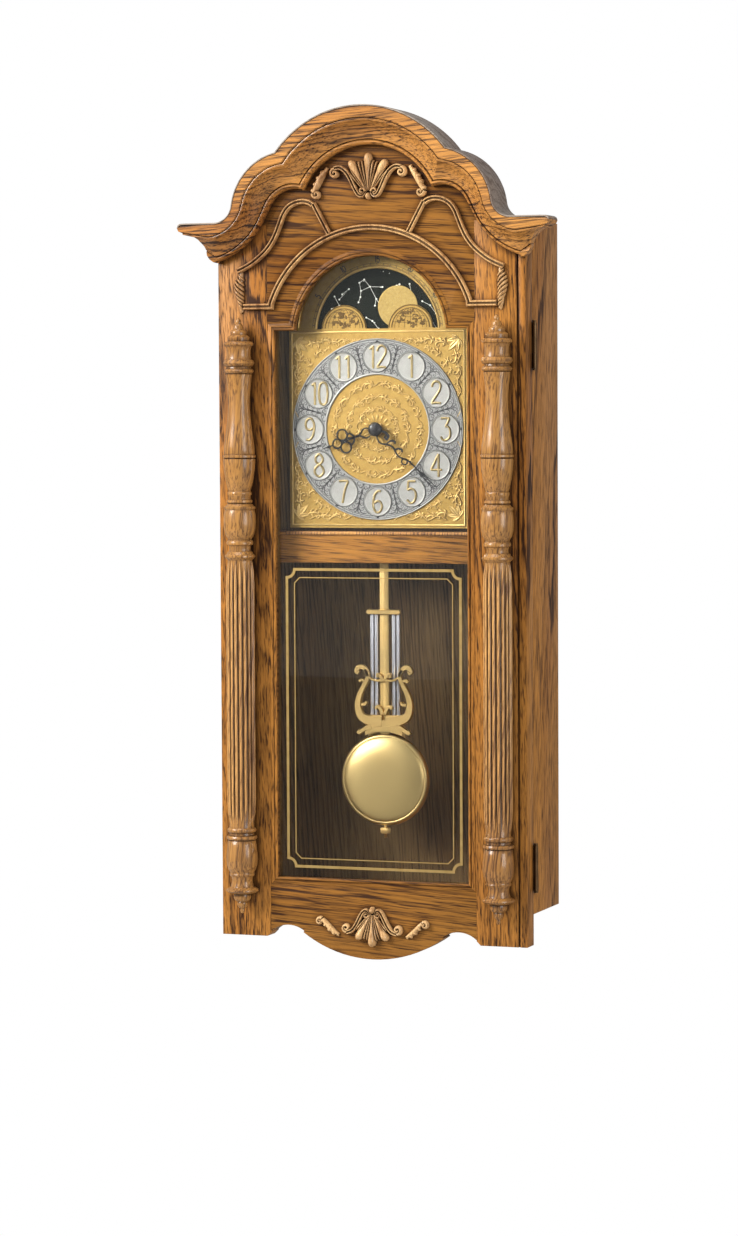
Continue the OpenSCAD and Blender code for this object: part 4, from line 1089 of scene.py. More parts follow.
# ---- Beading and rope carvings of the tympanum ----
# Double beads of carved oak are bent round the head of the door and mitred where they meet.
# At each end of the beading hangs a short twisted carving.
points, faces = [], []
bead_half = 3.0
bead_up = 5.2
right_foot = [(130.5, 620.5), (102.4, 620.5)]
left_foot = [(-102.4, 620.5), (-130.5, 620.5)]
arch_bead = right_foot + arc_points(0, 587, 108.5, 19.3, 160.7, 56) + left_foot
carve(points, faces, [(x, z, bead_half, bead_up) for x, z in arch_bead], 0, 1, two_beads)
for side in (-1, 1):
    swan = [(137, 655.6), (130, 658.6), (122, 662.8), (113.5, 669), (106, 676), (100, 684), (95.6, 692.6),
            (92, 701.4), (88.4, 710), (83.6, 716.4), (77, 720.4), (69, 722), (61.6, 720.8), (57.4, 718)]
    carve(points, faces, both_ways([(x, z, 2.75, bead_up) for x, z in swan], side), 0, 4, two_beads)
    strut = [(57, 719.4, 2.6, bead_up), (40.4, 689, 2.6, bead_up)]
    carve(points, faces, both_ways(strut, side), 0, 1, two_beads)
bead_oak = oak_finish("bead_wood", (0, tilt, 0), (0.21, 0.06, 0.1), (0.84, 0.51, 0.215),
                      (0.4, 0.205, 0.075), 90, 0.003, recess_shade=0.8, gloss=0.5)
beading = new_piece("tympanum_beads", points, faces, bead_oak, 50, 0.000001)
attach(beading, "door")
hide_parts("tympanum_beading")

points, faces = [], []
strand = [(-4.4, 5.2, 0.4, 0.8), (-3, 3.4, 1.3, 3.6), (0, 0, 1.7, 5.6), (3, -3.4, 1.3, 3.6),
          (4.4, -5.2, 0.4, 0.8)]
carve(points, faces, strand)
mirror_points = [Vector((-p.x, p.y, p.z)) for p in points]
strands = {
    -1: new_piece("left_strand", from_start(points), faces, bead_oak, 60),
    1: new_piece("right_strand", from_start(mirror_points), faces, bead_oak, 60),
}
strand_count = 8
for side, word in ((-1, "left"), (1, "right")):
    places = []
    for k in range(strand_count):
        t = k / (strand_count - 1)
        swell = math.sin(math.pi * t)
        spot = at(side * (133.8 + 2.2 * swell), -0.6, between(621, 649.5, t))
        places.append((spot, (0, 0, 0), 0.7 + 0.4 * swell))
    ropes = repeat_on(word + "_rope_strands", strands[side], places, bead_oak)
    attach(ropes, "door")
    bpy.data.objects.remove(strands[side])
points, faces = [], []
for side in (-1, 1):
    core = [(133.2, 614.6, 0.5, 1), (133.6, 617, 2.2, 2.4), (135.4, 635, 3, 3), (133.8, 653, 2.2, 2.4),
            (133.4, 656, 0.5, 1)]
    carve(points, faces, both_ways(core, side), 0, 4)
rope_core = new_piece("rope_cores", points, faces, bead_oak, 60)
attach(rope_core, "door")
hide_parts("rope_carvings")


# ---- Glass and its gold lines ----
# Clear float glass lies in the rebate behind the opening.
# Two gold lines are screened on it round the pendulum, with cut-in corners.
clear_glass = bpy.data.materials.new("clear_glass")
clear_glass.use_nodes = True
nodes, links = clear_glass.node_tree.nodes, clear_glass.node_tree.links
nodes.clear()
where = nodes.new("ShaderNodeTexCoord")
where.label = "Place on the glass"
ripple = nodes.new("ShaderNodeTexNoise")
ripple.label = "Slow ripple"
ripple.inputs["Scale"].default_value = 9
ripple.inputs["Detail"].default_value = 1
wave = nodes.new("ShaderNodeBump")
wave.label = "Depth of the ripple"
wave.inputs["Strength"].default_value = 0.02
wave.inputs["Distance"].default_value = 0.001
film = nodes.new("ShaderNodeTexNoise")
film.label = "Faint film"
film.inputs["Scale"].default_value = 60
film_gloss = nodes.new("ShaderNodeMapRange")
film_gloss.label = "Almost none of it"
film_gloss.inputs["To Max"].default_value = 0.03
pane = nodes.new("ShaderNodeBsdfPrincipled")
pane.label = "Glass"
pane.inputs["Base Color"].default_value = (0.97, 0.985, 0.975, 1)
pane.inputs["Transmission Weight"].default_value = 1
pane.inputs["IOR"].default_value = 1.45
pane.inputs["Specular IOR Level"].default_value = 0.03
lets_light = nodes.new("ShaderNodeBsdfTransparent")
lets_light.label = "Light passes to the dial"
shadow = nodes.new("ShaderNodeLightPath")
shadow.label = "Light on its way to a lamp"
pick = nodes.new("ShaderNodeMixShader")
pick.label = "Glass or passing light"
end = nodes.new("ShaderNodeOutputMaterial")
for row, (effect, group) in enumerate((
    ("Ripple", (where, ripple, wave)), ("Film", (film, film_gloss)),
    ("Glass", (pane, lets_light, shadow, pick, end)),
)):
    holder = nodes.new("NodeFrame")
    holder.label = effect
    for step, node in enumerate(group):
        node.parent = holder
        node.location = (210 * step, -320 * row)
links.new(where.outputs["Object"], ripple.inputs["Vector"])
links.new(where.outputs["Object"], film.inputs["Vector"])
links.new(ripple.outputs["Fac"], wave.inputs["Height"])
links.new(wave.outputs["Normal"], pane.inputs["Normal"])
links.new(film.outputs["Fac"], film_gloss.inputs["Value"])
links.new(film_gloss.outputs["Result"], pane.inputs["Roughness"])
links.new(shadow.outputs["Is Shadow Ray"], pick.inputs["Fac"])
links.new(pane.outputs["BSDF"], pick.inputs[1])
links.new(lets_light.outputs["BSDF"], pick.inputs[2])
links.new(pick.outputs["Shader"], end.inputs["Surface"])
finish_node("door_glass", clear_glass)

# This gold is paler than the plate's. On the dial's embossing and wreath, stamped from the plate's own
# metal, the paler tone is a painted highlight; on the glass it is the colour of the screened lines.
relief_highlight_and_line_gold = metal_finish("relief_highlight_and_line_gold", (0.6, 0.42, 0.165), (0.26, 0.155, 0.047), 0.42, 0.0, 90)
flat_strip = [(1, 0), (1, 1), (-1, 1), (-1, 0)]
line_side = 90
line_foot = 70
line_head = 363
corner_r = 8
line_up = 0.12
glass_front = 4.98
points, faces = [], []
outer_line = []
for sx, sz, first in ((1, 1, 180), (1, -1, 90), (-1, -1, 0), (-1, 1, 270)):
    middle_z = line_head if sz > 0 else line_foot
    corner = arc_points(sx * line_side, middle_z, corner_r, first, first + 90, 8)
    outer_line += [(x, z, 1.35, line_up) for x, z in corner]
carve(points, faces, outer_line, glass_front, 1, flat_strip, True)
inset = 8
cut = 5.5
inner_line = []
for sx, sz in ((1, 1), (1, -1), (-1, -1), (-1, 1)):
    corner_x = sx * (line_side - inset)
    corner_z = line_head - inset if sz > 0 else line_foot + inset
    pair = [(corner_x - sx * cut, corner_z), (corner_x, corner_z - sz * cut)]
    if sx * sz < 0:
        pair.reverse()
    inner_line += [(x, z, 0.5, line_up) for x, z in pair]
carve(points, faces, inner_line, glass_front, 1, flat_strip, True)
gold_lines = new_piece("glass_gold_lines", points, faces, relief_highlight_and_line_gold, 40, 0.000001)
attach(gold_lines, "door")


# ---- Dial rail ----
# An oak board across the case hides the foot of the dial plate.
# A thin bead is worked along its top edge.
soft_copy("dial_rail", "dial_rail_board", rail_oak, "case", 1.2)
rail_half = 96
points, faces = [], []
carve(points, faces, [(-rail_half, 398.2, 1.5, 1), (rail_half, 398.2, 1.5, 1)], 21, 1)
# The bead takes the lighter column oak, not the rail's own, as a painted highlight along the rail's top
# edge.
rail_bead = new_piece("dial_rail_bead", points, faces, turned_oak, 60, 0.000001)
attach(rail_bead, "case")


# ---- Dial plate ----
# A gold-lacquered plate is embossed with leaves, and an arch above it is open for the moon.
# A raised line runs round the square; the days of the moon are printed on the arch.
plate_gold = metal_finish("plate_gold", (0.36, 0.235, 0.07), (0.27, 0.165, 0.045), 0.5, 0.0, 200)
finish_node("dial_plate", plate_gold)
finish_node("dial_centre", plate_gold)
black_print = moulded_finish("black_print", (0.012, 0.012, 0.014), (0.03, 0.03, 0.032), 0.45, 1200, 0.00002)
dial_y = 22
dial_z = 500
moon_z = 594
print_up = 0.1
print_y = dial_y - 0.01
square_half = 89.6
square_foot = 406.4
square_head = 595.2
points, faces = [], []
border = (
    (square_half, square_foot), (square_half, square_head),
    (-square_half, square_head), (-square_half, square_foot),
)
carve(points, faces, [(x, z, 0.9, 0.9) for x, z in border], dial_y, 1, round_top, True)
for radius, half, height in ((64.2, 0.7, 0.8), (82.6, 0.8, 0.9)):
    arch = [(x, z, half, height) for x, z in arc_points(0, moon_z, radius, 4, 176, 48)]
    carve(points, faces, arch, dial_y, 1)


def spray(points, faces, x, z, turn, size, base, mirrored=1):
    """One embossed leaf spray: a curled stem with four short leaves along it."""
    stem = [(-7, -2, 0.3, 0.3), (-4, -0.4, 0.7, 0.7), (0, 0.8, 0.9, 0.85), (4, 0.2, 0.8, 0.8),
            (6.4, -2.2, 0.7, 0.8), (5.6, -4.6, 0.6, 0.8), (3.6, -4.4, 0.5, 0.8), (3.6, -2.9, 0.6, 0.7)]
    leaves = [
        [(-3.6, -0.2, 0.3, 0.5), (-3.2, 2.2, 0.9, 0.8), (-1.4, 4.0, 0.2, 0.3)],
        [(-1.4, 0.6, 0.3, 0.5), (-2.2, -2.2, 0.9, 0.8), (-0.6, -4.4, 0.2, 0.3)],
        [(0.8, 0.9, 0.3, 0.5), (1.8, 3.2, 0.9, 0.8), (4.2, 4.4, 0.2, 0.3)],
        [(3.6, 0.4, 0.3, 0.5), (5.8, 1.4, 0.8, 0.7), (8.2, 0.8, 0.2, 0.3)],
    ]
    c, s = math.cos(turn), math.sin(turn)
    for run in [stem] + leaves:
        placed = []
        for px, pz, width, height in run:
            px, pz = px * size * mirrored, pz * size
            width, height = width * size * 1.25, height * size * 1.5
            placed.append((x + px * c - pz * s, z + px * s + pz * c, width, height))
        carve(points, faces, placed, base, 3)


def corner_leaf(points, faces, x, z, turn):
    """A broad vine leaf with five lobes, as stamped in each corner of the plate."""
    for a, long, wide in ((-75, 8, 1.9), (-38, 12, 2.2), (0, 15, 2.6), (38, 12, 2.2), (75, 8, 1.9)):
        b = turn + math.radians(a)
        lobe = [(x, z, 0.6, 0.5)]
        for share, half, height in ((0.55, wide, 0.9), (1, 0.3, 0.4)):
            lobe.append((x + math.cos(b) * long * share, z + math.sin(b) * long * share, half, height))
        carve(points, faces, lobe, dial_y, 4, two_beads)


for sx in (-1, 1):
    for sz in (-1, 1):
        inward = math.atan2(-sz, -sx)
        cx, cz = sx * 84, dial_z + (87 if sz > 0 else -85)
        corner_leaf(points, faces, cx, cz, inward)
        for along, off, turn, size in (
            (17, 3, 0.1, 0.95), (29, 0.5, 0.2, 0.85), (40, 1.4, -0.15, 0.75), (51, 1, 0.15, 0.6),
            (60, 0.6, 0.1, 0.5), (22, 13, 0.7, 0.8), (31, 9, 0.5, 0.6),
        ):
            lean = -sx * sz * turn
            spray(points, faces, cx - sx * along, cz - sz * off, lean, size, dial_y, -sx)
            lean -= sz * math.pi / 2
            spray(points, faces, cx - sx * off, cz - sz * along, lean, size, dial_y, sx * sz)
    for sz in (-1, 1):
        across_vine = [(80 - 9 * k, 86 + (2.2 if k % 2 else -1.6)) for k in range(1, 8)]
        upright_vine = [(84.5 + (1.8 if k % 2 else -1.8), 80 - 8.5 * k) for k in range(1, 9)]
        for vine in (across_vine, upright_vine):
            carve(points, faces, [(sx * x, dial_z + sz * z, 0.6, 1.2) for x, z in vine], dial_y, 5)
# The embossing is in the paler gold, a painted highlight on the plate's own metal.
embossing = new_piece("dial_embossing", points, faces, relief_highlight_and_line_gold, 60, 0.000001)
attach(embossing, "case")

digit_runs = {
    "0": [[(0, 0.5), (0.15, 0.4), (0.2, 0.1), (0.2, -0.1), (0.15, -0.4), (0, -0.5), (-0.15, -0.4),
           (-0.2, -0.1), (-0.2, 0.1), (-0.15, 0.4), (0, 0.5)]],
    "1": [[(-0.1, 0.36), (0.02, 0.46), (0.04, 0.5)], [(0.04, 0.5), (0.04, 0), (0.04, -0.5)]],
    "2": [[(-0.2, 0.26), (-0.13, 0.44), (0.04, 0.5), (0.19, 0.38), (0.19, 0.18), (0.06, -0.06),
           (-0.12, -0.3), (-0.2, -0.46)],
          [(-0.2, -0.47), (0, -0.44), (0.22, -0.47)]],
    "3": [[(-0.2, 0.47), (0, 0.48), (0.19, 0.47)], [(0.19, 0.47), (0.02, 0.12)],
          [(0, 0.12), (0.15, 0.07), (0.22, -0.12), (0.19, -0.36), (0.02, -0.49), (-0.13, -0.46),
           (-0.21, -0.34)]],
    "4": [[(0.1, -0.5), (0.1, 0), (0.1, 0.5)], [(0.1, 0.5), (-0.08, 0.14), (-0.25, -0.2)],
          [(-0.25, -0.2), (0, -0.2), (0.26, -0.2)]],
    "5": [[(0.19, 0.47), (0, 0.47), (-0.15, 0.47)], [(-0.15, 0.47), (-0.18, 0.08)],
          [(-0.18, 0.08), (0, 0.14), (0.17, 0.02), (0.2, -0.2), (0.12, -0.42), (-0.05, -0.5),
           (-0.2, -0.36)]],
    "6": [[(0.16, 0.44), (0.02, 0.46), (-0.13, 0.3), (-0.2, 0), (-0.19, -0.28), (-0.07, -0.48),
           (0.1, -0.46), (0.2, -0.26), (0.15, -0.05), (0.01, 0.02), (-0.14, -0.06)]],
    "7": [[(-0.2, 0.47), (0, 0.48), (0.21, 0.47)], [(0.21, 0.47), (0.04, 0.04), (-0.06, -0.5)]],
    "8": [[(0, 0.04), (0.15, 0.16), (0.16, 0.36), (0, 0.5), (-0.16, 0.36), (-0.15, 0.16), (0, 0.04),
           (0.18, -0.12), (0.2, -0.34), (0, -0.5), (-0.2, -0.34), (-0.18, -0.12), (0, 0.04)]],
}
digit_runs["9"] = [[(-x, -z) for x, z in run] for run in digit_runs["6"]]


def figures(points, faces, word, x, z, tall, half, height, base, turn=0.0, section=round_top):
    """Figures side by side, centred on a point and turned; tall is their height."""
    step = tall * 0.44
    c, s = math.cos(turn), math.sin(turn)
    for place, sign in enumerate(word):
        shift = (place - (len(word) - 1) / 2) * step
        for run in digit_runs[sign]:
            knots = []
            for px, pz in run:
                px, pz = px * tall + shift, pz * tall
                knots.append((x + px * c - pz * s, z + px * s + pz * c, half, height))
            carve(points, faces, knots, base, 4, section)


# The days of the moon are printed on the arch, with a figure at every fifth.
points, faces = [], []
day_count = 29
day_radius = 71.5
for day in range(1, day_count + 1):
    a = math.radians(180 - between(4, 176, (day - 0.5) / day_count))
    ends = [(r * math.cos(a), moon_z + r * math.sin(a), 0.26, print_up) for r in (65.9, 67.7)]
    carve(points, faces, ends, print_y, 1, flat_strip)
    if day % 5 == 0:
        x, z = day_radius * math.cos(a), moon_z + day_radius * math.sin(a)
        figures(points, faces, str(day), x, z, 6, 0.42, print_up, print_y, a - math.pi / 2, flat_strip)
for radius in (65.8, 67.8):
    circle = [(x, z, 0.16, print_up) for x, z in arc_points(0, moon_z, radius, 5, 175, 60)]
    carve(points, faces, circle, print_y, 1, flat_strip)
moon_days = new_piece("moon_day_print", points, faces, black_print, 60, 0.000001)
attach(moon_days, "case")


# ---- Globes on the dial's humps ----
# Two round humps cover the moon at each end of its path, engraved as globes.
# Their lines of latitude and longitude and the land are stamped in the gold.
points, faces = [], []
land, land_faces = [], []
hump_r = 22.4
globe_r = hump_r - 2.6
map_half = 0.22
map_up = 0.25
map_step = math.radians(19)
random.seed(5)
for side in (-1, 1):
    cx, cz = side * 34.6, 598.2
    for radius, half in ((hump_r, 0.55), (globe_r, 0.2)):
        rim = [(x, z, half, 0.5) for x, z in arc_points(cx, cz, radius, 2, 178, 36)]
        carve(points, faces, rim, dial_y, 1)
    for k in range(-4, 5):
        bulge = globe_r * math.sin(k * map_step)
        run = []
        for degrees in range(2, 90, 8):
            a = math.radians(degrees)
            run.append((cx + bulge * math.cos(a), cz + globe_r * math.sin(a), map_half, map_up))
        carve(points, faces, run, dial_y, 1)
    for k in range(1, 5):
        level_z = globe_r * math.sin(k * map_step)
        half_wide = math.sqrt(globe_r ** 2 - level_z ** 2)
        run = []
        for step in range(-6, 7):
            t = step / 6
            run.append((cx + half_wide * t, cz + level_z - 1.2 * (1 - t ** 2), map_half, map_up))
        carve(points, faces, run, dial_y, 1)
    for k in range(26):
        a = math.radians(random.uniform(12, 168))
        r = (globe_r - 3) * math.sqrt(random.random())
        x, z = cx + r * math.cos(a) * 0.95, cz + 1.5 + r * math.sin(a) * 0.92
        knots = [(x, z, 0.3, 0.2)]
        for step in range(4):
            x += random.uniform(-1.9, 1.9)
            z = max(cz + 1, z + random.uniform(-1.5, 1.5))
            knots.append((x, z, random.uniform(0.5, 1.1), 0.3))
        knots.append((x + 0.8, z, 0.2, 0.2))
        carve(land, land_faces, knots, dial_y, 3)
globe_brown = metal_finish("globe_engraving", (0.13, 0.078, 0.028), (0.05, 0.03, 0.012), 0.5, 0.0, 300)
globe_lines = new_piece("globe_lines", points, faces, globe_brown, 60, 0.000001)
globe_land = new_piece("globe_land", land, land_faces, globe_brown, 60, 0.000001)
for piece in (globe_lines, globe_land):
    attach(piece, "case")


# ---- Chapter ring ----
# A silvered ring carries twelve raised round plaques with gold figures.
# Black scrolls are printed between the plaques; fine circles and a dot for each minute run
# round the outside.
silver_ring = metal_finish("silvered_ring", (0.37, 0.366, 0.352), (0.28, 0.277, 0.265), 0.42, 0.0, 150)
etched_silver = metal_finish("etched_silver", (0.31, 0.31, 0.305), (0.21, 0.21, 0.21), 0.45, 0.0, 420)
finish_node("chapter_ring", etched_silver)
ring_y = 21
ring_print_y = ring_y - 0.01
ring_print_up = 0.08
silver_points, silver_faces = [], []
for radius, half, height in ((88, 0.6, 0.6), (54, 1.0, 1.0)):
    edge = [(x, z, half, height) for x, z in arc_points(0, dial_z, radius, 0, 355, 71)]
    carve(silver_points, silver_faces, edge, ring_y, 1, round_top, True)
plaque_section = (
    (4, 0.55), (8, 0.55), (12, 0.55), (13.2, 0.6), (13.5, 0.95), (13.9, 1.05), (14.2, 0.8), (14.4, 0),
    (13, -0.2),
)
plaque_rows = [(r, ring_y - up) for r, up in plaque_section]
plaque_out = 70.4
print_points, print_faces = [], []
gold_points, gold_faces = [], []
for hour in range(1, 13):
    a = math.radians(90 - 30 * hour)
    px, pz = plaque_out * math.cos(a), dial_z + plaque_out * math.sin(a)
    add_skin(silver_points, silver_faces, facing_rings(px, pz, plaque_rows, 36))
    circle = [(x, z, 0.22, ring_print_up) for x, z in arc_points(px, pz, 15, 0, 350, 35)]
    carve(print_points, print_faces, circle, ring_print_y, 1, flat_strip, True)
    figures(gold_points, gold_faces, str(hour), px, pz, 22, 1.15, 1.3, ring_y - 0.5)
plaques = new_piece("chapter_plaques", silver_points, silver_faces, silver_ring, 40, 0.000001)
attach(plaques, "case")
figure_gold = metal_finish("figure_gold", (0.5, 0.39, 0.2), (0.24, 0.17, 0.08), 0.3, 0.0, 200)
numerals = new_piece("gold_numerals", gold_points, gold_faces, figure_gold, 60, 0.000001)
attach(numerals, "case")
for radius in (86.9, 84.9):
    circle = [(x, z, 0.24, ring_print_up) for x, z in arc_points(0, dial_z, radius, 0, 357, 119)]
    carve(print_points, print_faces, circle, ring_print_y, 1, flat_strip, True)
ring_print = new_piece("chapter_print", print_points, print_faces, black_print, 60, 0.000001)
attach(ring_print, "case")

# One scroll is drawn about the start point and repeated between the plaques.
scroll_half = 0.24
speck_half = ((-0.45, 0.15), (0, 0.5), (0.45, 0.15))
points, faces = [], []
for mirrored in (-1, 1):
    for run in (
        [(0, -15.8), (1.0, -12.4), (2.6, -10.6), (4.2, -11.4), (4.2, -13.2), (2.9, -13.6), (2.6, -12.6)],
        [(1.0, -12.4), (0.5, -8.6), (1.2, -5.6), (2.8, -4.4), (3.8, -5.6), (3.2, -6.9), (2.2, -6.4)],
        [(0.5, -8.6), (0.2, -3), (1.0, 0.4), (2.4, 1.4), (3.4, 0.4), (2.8, -0.8), (1.9, -0.4)],
        [(0.2, -3), (0.3, 3.4), (1.6, 6.2), (3.6, 6.4), (4.4, 4.9), (3.4, 3.9), (2.5, 4.7)],
        [(0.3, 3.4), (0.6, 8.6), (2.6, 11.4), (5.4, 11.2), (6.6, 9.4), (5.5, 8.1), (4.2, 8.9), (4.7, 10)],
        [(2.6, 11.4), (4.6, 13.6), (8, 13.9), (10.4, 12.9), (10.9, 11.4), (9.8, 10.6), (9.1, 11.6)],
        [(0.6, 8.6), (0.5, 12.2), (1.4, 14.4), (3.2, 14.6), (3.4, 13.2)],
        [(4.2, -11.4), (6.4, -13.2), (7.2, -15.2), (5.8, -15.8)],
    ):
        knots = []
        for k, (x, z) in enumerate(run):
            half = scroll_half * (1.9 if 0 < k < 3 else 1)
            knots.append((x * mirrored, z, half, print_up))
        carve(points, faces, knots, 0, 4, flat_strip)
    for x, z in ((1.2, -15), (5.6, -8.6), (4.6, 2.6), (7.4, 7), (1.6, 11.8), (7.6, 12.2), (12.4, 13.2)):
        speck = [(x * mirrored + off, z, half, print_up) for off, half in speck_half]
        carve(points, faces, speck, 0, 2, flat_strip)
scroll_print = new_piece("one_scroll", from_start(points), faces, black_print, 60, 0.000001)
scroll_out = 70
places = []
for k in range(12):
    a = math.radians(75 - 30 * k)
    spot = at(scroll_out * math.cos(a), ring_print_y, dial_z + scroll_out * math.sin(a))
    places.append((spot, (0, math.pi / 2 - a, 0), 0.95))
filigree = repeat_on("chapter_scrolls", scroll_print, places, black_print)
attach(filigree, "case")
bpy.data.objects.remove(scroll_print)

# A dot for each minute, larger at the hours, stands between the two outer circles.
points, faces = [], []
dot_run = [(0, -1.1, 0.1, 0.1), (0, -0.7, 0.8, 0.35), (0, 0, 1.1, 0.45), (0, 0.7, 0.8, 0.35),
           (0, 1.1, 0.1, 0.1)]
carve(points, faces, dot_run, 0, 3)
dot = new_piece("one_dot", from_start(points), faces, black_print, 60, 0.000001)
dot_out = 85.9
places = []
for k in range(60):
    a = math.radians(90 - 6 * k)
    size = 1.2 if k % 5 == 0 else 0.35
    spot = at(dot_out * math.cos(a), ring_print_y, dial_z + dot_out * math.sin(a))
    places.append((spot, (0, math.pi / 2 - a, 0), size))
dots = repeat_on("minute_dots", dot, places, black_print)
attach(dots, "case")
bpy.data.objects.remove(dot)


# ---- Dial centre ----
# The middle of the dial is a gold disc embossed with a wreath of leaf sprays.
# It is stamped with the plate and fixed behind the ring.
points, faces = [], []
centre_y = 21.4
for count, radius, size, lean in ((18, 44.5, 0.85, 0.15), (14, 31.5, 0.8, -0.2), (9, 19.5, 0.75, 0.3)):
    for k in range(count):
        a = 2 * math.pi * (k + 0.5) / count + math.pi / 2
        way = 1 if k % 2 else -1
        x, z = radius * math.cos(a), dial_z + radius * math.sin(a)
        spray(points, faces, x, z, a - math.pi / 2 + lean * way, size, centre_y, way)
for k in range(16):
    a = 2 * math.pi * k / 16
    petal = ((9, 0.3, 0.3), (12, 1.1, 0.8), (15, 0.3, 0.3))
    run = [(r * math.cos(a), dial_z + r * math.sin(a), half, height) for r, half, height in petal]
    carve(points, faces, run, centre_y, 3)
for radius, waves, swing in ((44.5, 18, 2.2), (32, 14, 2), (20, 9, 1.8)):
    ring_line = []
    for k in range(waves * 8):
        a = 2 * math.pi * k / (waves * 8)
        r = radius + swing * math.sin(waves * a)
        ring_line.append((r * math.cos(a), dial_z + r * math.sin(a), 0.5, 0.8))
    carve(points, faces, ring_line, centre_y, 1, round_top, True)
# The wreath is in the paler gold, a painted highlight on the stamped metal.
wreath = new_piece("centre_wreath", points, faces, relief_highlight_and_line_gold, 60, 0.000001)
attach(wreath, "case")


# ---- Moon disc ----
# A dark printed disc turns behind the arch with two gold moons among constellations.
# The stars are white dots joined by thin lines.
night = moulded_finish("night_paint", (0.006, 0.007, 0.005), (0.011, 0.013, 0.010),
                       0.75, 900, 0.00003, 0.04)
finish_node("moon_disc", night)
sky_y = 24
moon_gold = metal_finish("moon_gold", (0.34, 0.245, 0.088), (0.27, 0.185, 0.062), 0.5, 0.0, 400)
sky_print_y = sky_y - 0.01
moon_phase = 39.4
moon_out = 32.75
moon_rows = [(r, sky_y - up) for r, up in ((19.4, 0.32), (20.1, 0.34), (20.5, 0.2), (20.5, -0.1))]
points, faces = [], []
for turn in (90 - moon_phase, 270 - moon_phase):
    a = math.radians(turn)
    mx, mz = moon_out * math.cos(a), moon_z + moon_out * math.sin(a)
    add_skin(points, faces, facing_rings(mx, mz, moon_rows, 48))
moons = new_piece("painted_moons", points, faces, moon_gold, 40, 0.000001)
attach(moons, "moon")

star_white = moulded_finish("star_print", (0.82, 0.82, 0.76), (0.6, 0.62, 0.58), 0.5, 1200, 0.00002)
constellations = (
    ((-19, 49), (-14, 52), (-8, 45), (5, 44.5)), ((-8, 45), (-1.5, 33), (-3, 26.5)),
    ((-19, 49), (-17.4, 41), (-18, 35), (-20, 30)), ((-8, 45), (-17.4, 41)),
    ((14, 42.5), (17, 43.2), (19.6, 45.6), (22.6, 46.8)), ((33, 47), (35, 36), (39, 31)),
    ((46, 30), (54, 26), (60, 18)), ((-12, 15), (-5.6, 11.6), (0.8, 4), (4, 1)), ((57, 9), (61, 3)),
    ((-45, 36), (-40, 27), (-48, 24)), ((-37, 38), (-30, 43), (-40, 33)), ((-1.5, 33), (2, 27.6)),
    ((-6, -2), (-9, -8), (-16, -12), (-22, -8)), ((10, -20), (18, -26), (26, -22), (30, -30)),
    ((-40, -14), (-46, -22), (-38, -30)), ((50, -14), (44, -24), (52, -30)),
    ((-8, -44), (2, -50), (12, -46)),
)
points, faces = [], []
star_places = []
for line in constellations:
    carve(points, faces, [(x, moon_z + z, 0.16, print_up) for x, z in line], sky_print_y, 1, flat_strip)
    for x, z in line:
        star_place = (at(x, sky_print_y, moon_z + z), (0, 0, 0), 0.9)
        if star_place not in star_places:
            star_places.append(star_place)
sky_lines = new_piece("constellation_lines", points, faces, star_white, 60, 0.000001)
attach(sky_lines, "moon")

# A star stands at each turn of those lines; smaller ones are scattered over the rest of the disc.
points, faces = [], []
star_run = [(0, -1, 0.1, 0.05), (0, -0.6, 0.8, 0.15), (0, 0, 1, 0.2), (0, 0.6, 0.8, 0.15),
            (0, 1, 0.1, 0.05)]
carve(points, faces, star_run, 0, 3)
star = new_piece("one_star", from_start(points), faces, star_white, 60, 0.000001)
small_stars = 26
random.seed(3)
for k in range(small_stars):
    a = random.uniform(0, 2 * math.pi)
    r = 60 * math.sqrt(random.random())
    spot = at(r * math.cos(a), sky_print_y, moon_z + r * math.sin(a))
    star_places.append((spot, (0, 0, 0), random.uniform(0.3, 0.55)))
stars = repeat_on("star_dots", star, star_places, star_white)
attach(stars, "moon")
bpy.data.objects.remove(star)


# ---- Hands ----
# Serpentine hands are pierced from thin black-painted brass, with rings and curls along them.
# They are pushed on their arbors and held by a domed cap.
hand_paint = moulded_finish("hand_black", (0.008, 0.008, 0.009), (0.02, 0.02, 0.022), 0.28, 800, 0.00003)
flat_bar = [(1, 0), (1, 0.55), (0.75, 0.95), (-0.75, 0.95), (-1, 0.55), (-1, 0)]


def hand_run(points, faces, hand, knots, steps=5, closed=False):
    """A pierced run of a hand, drawn pointing up and then turned clockwise to where the hand points."""
    degrees, base = hand
    c, s = math.cos(math.radians(degrees)), math.sin(math.radians(degrees))
    placed = [(x * c + z * s, dial_z - x * s + z * c, width, hand_up) for x, z, width in knots]
    carve(points, faces, placed, base, steps, flat_bar, closed)


def hand_ring(points, faces, hand, cx, cz, radius, width):
    """A pierced ring of a hand."""
    knots = [(x, z, width) for x, z in arc_points(cx, cz, radius, 0, 345, 23)]
    hand_run(points, faces, hand, knots, 1, True)


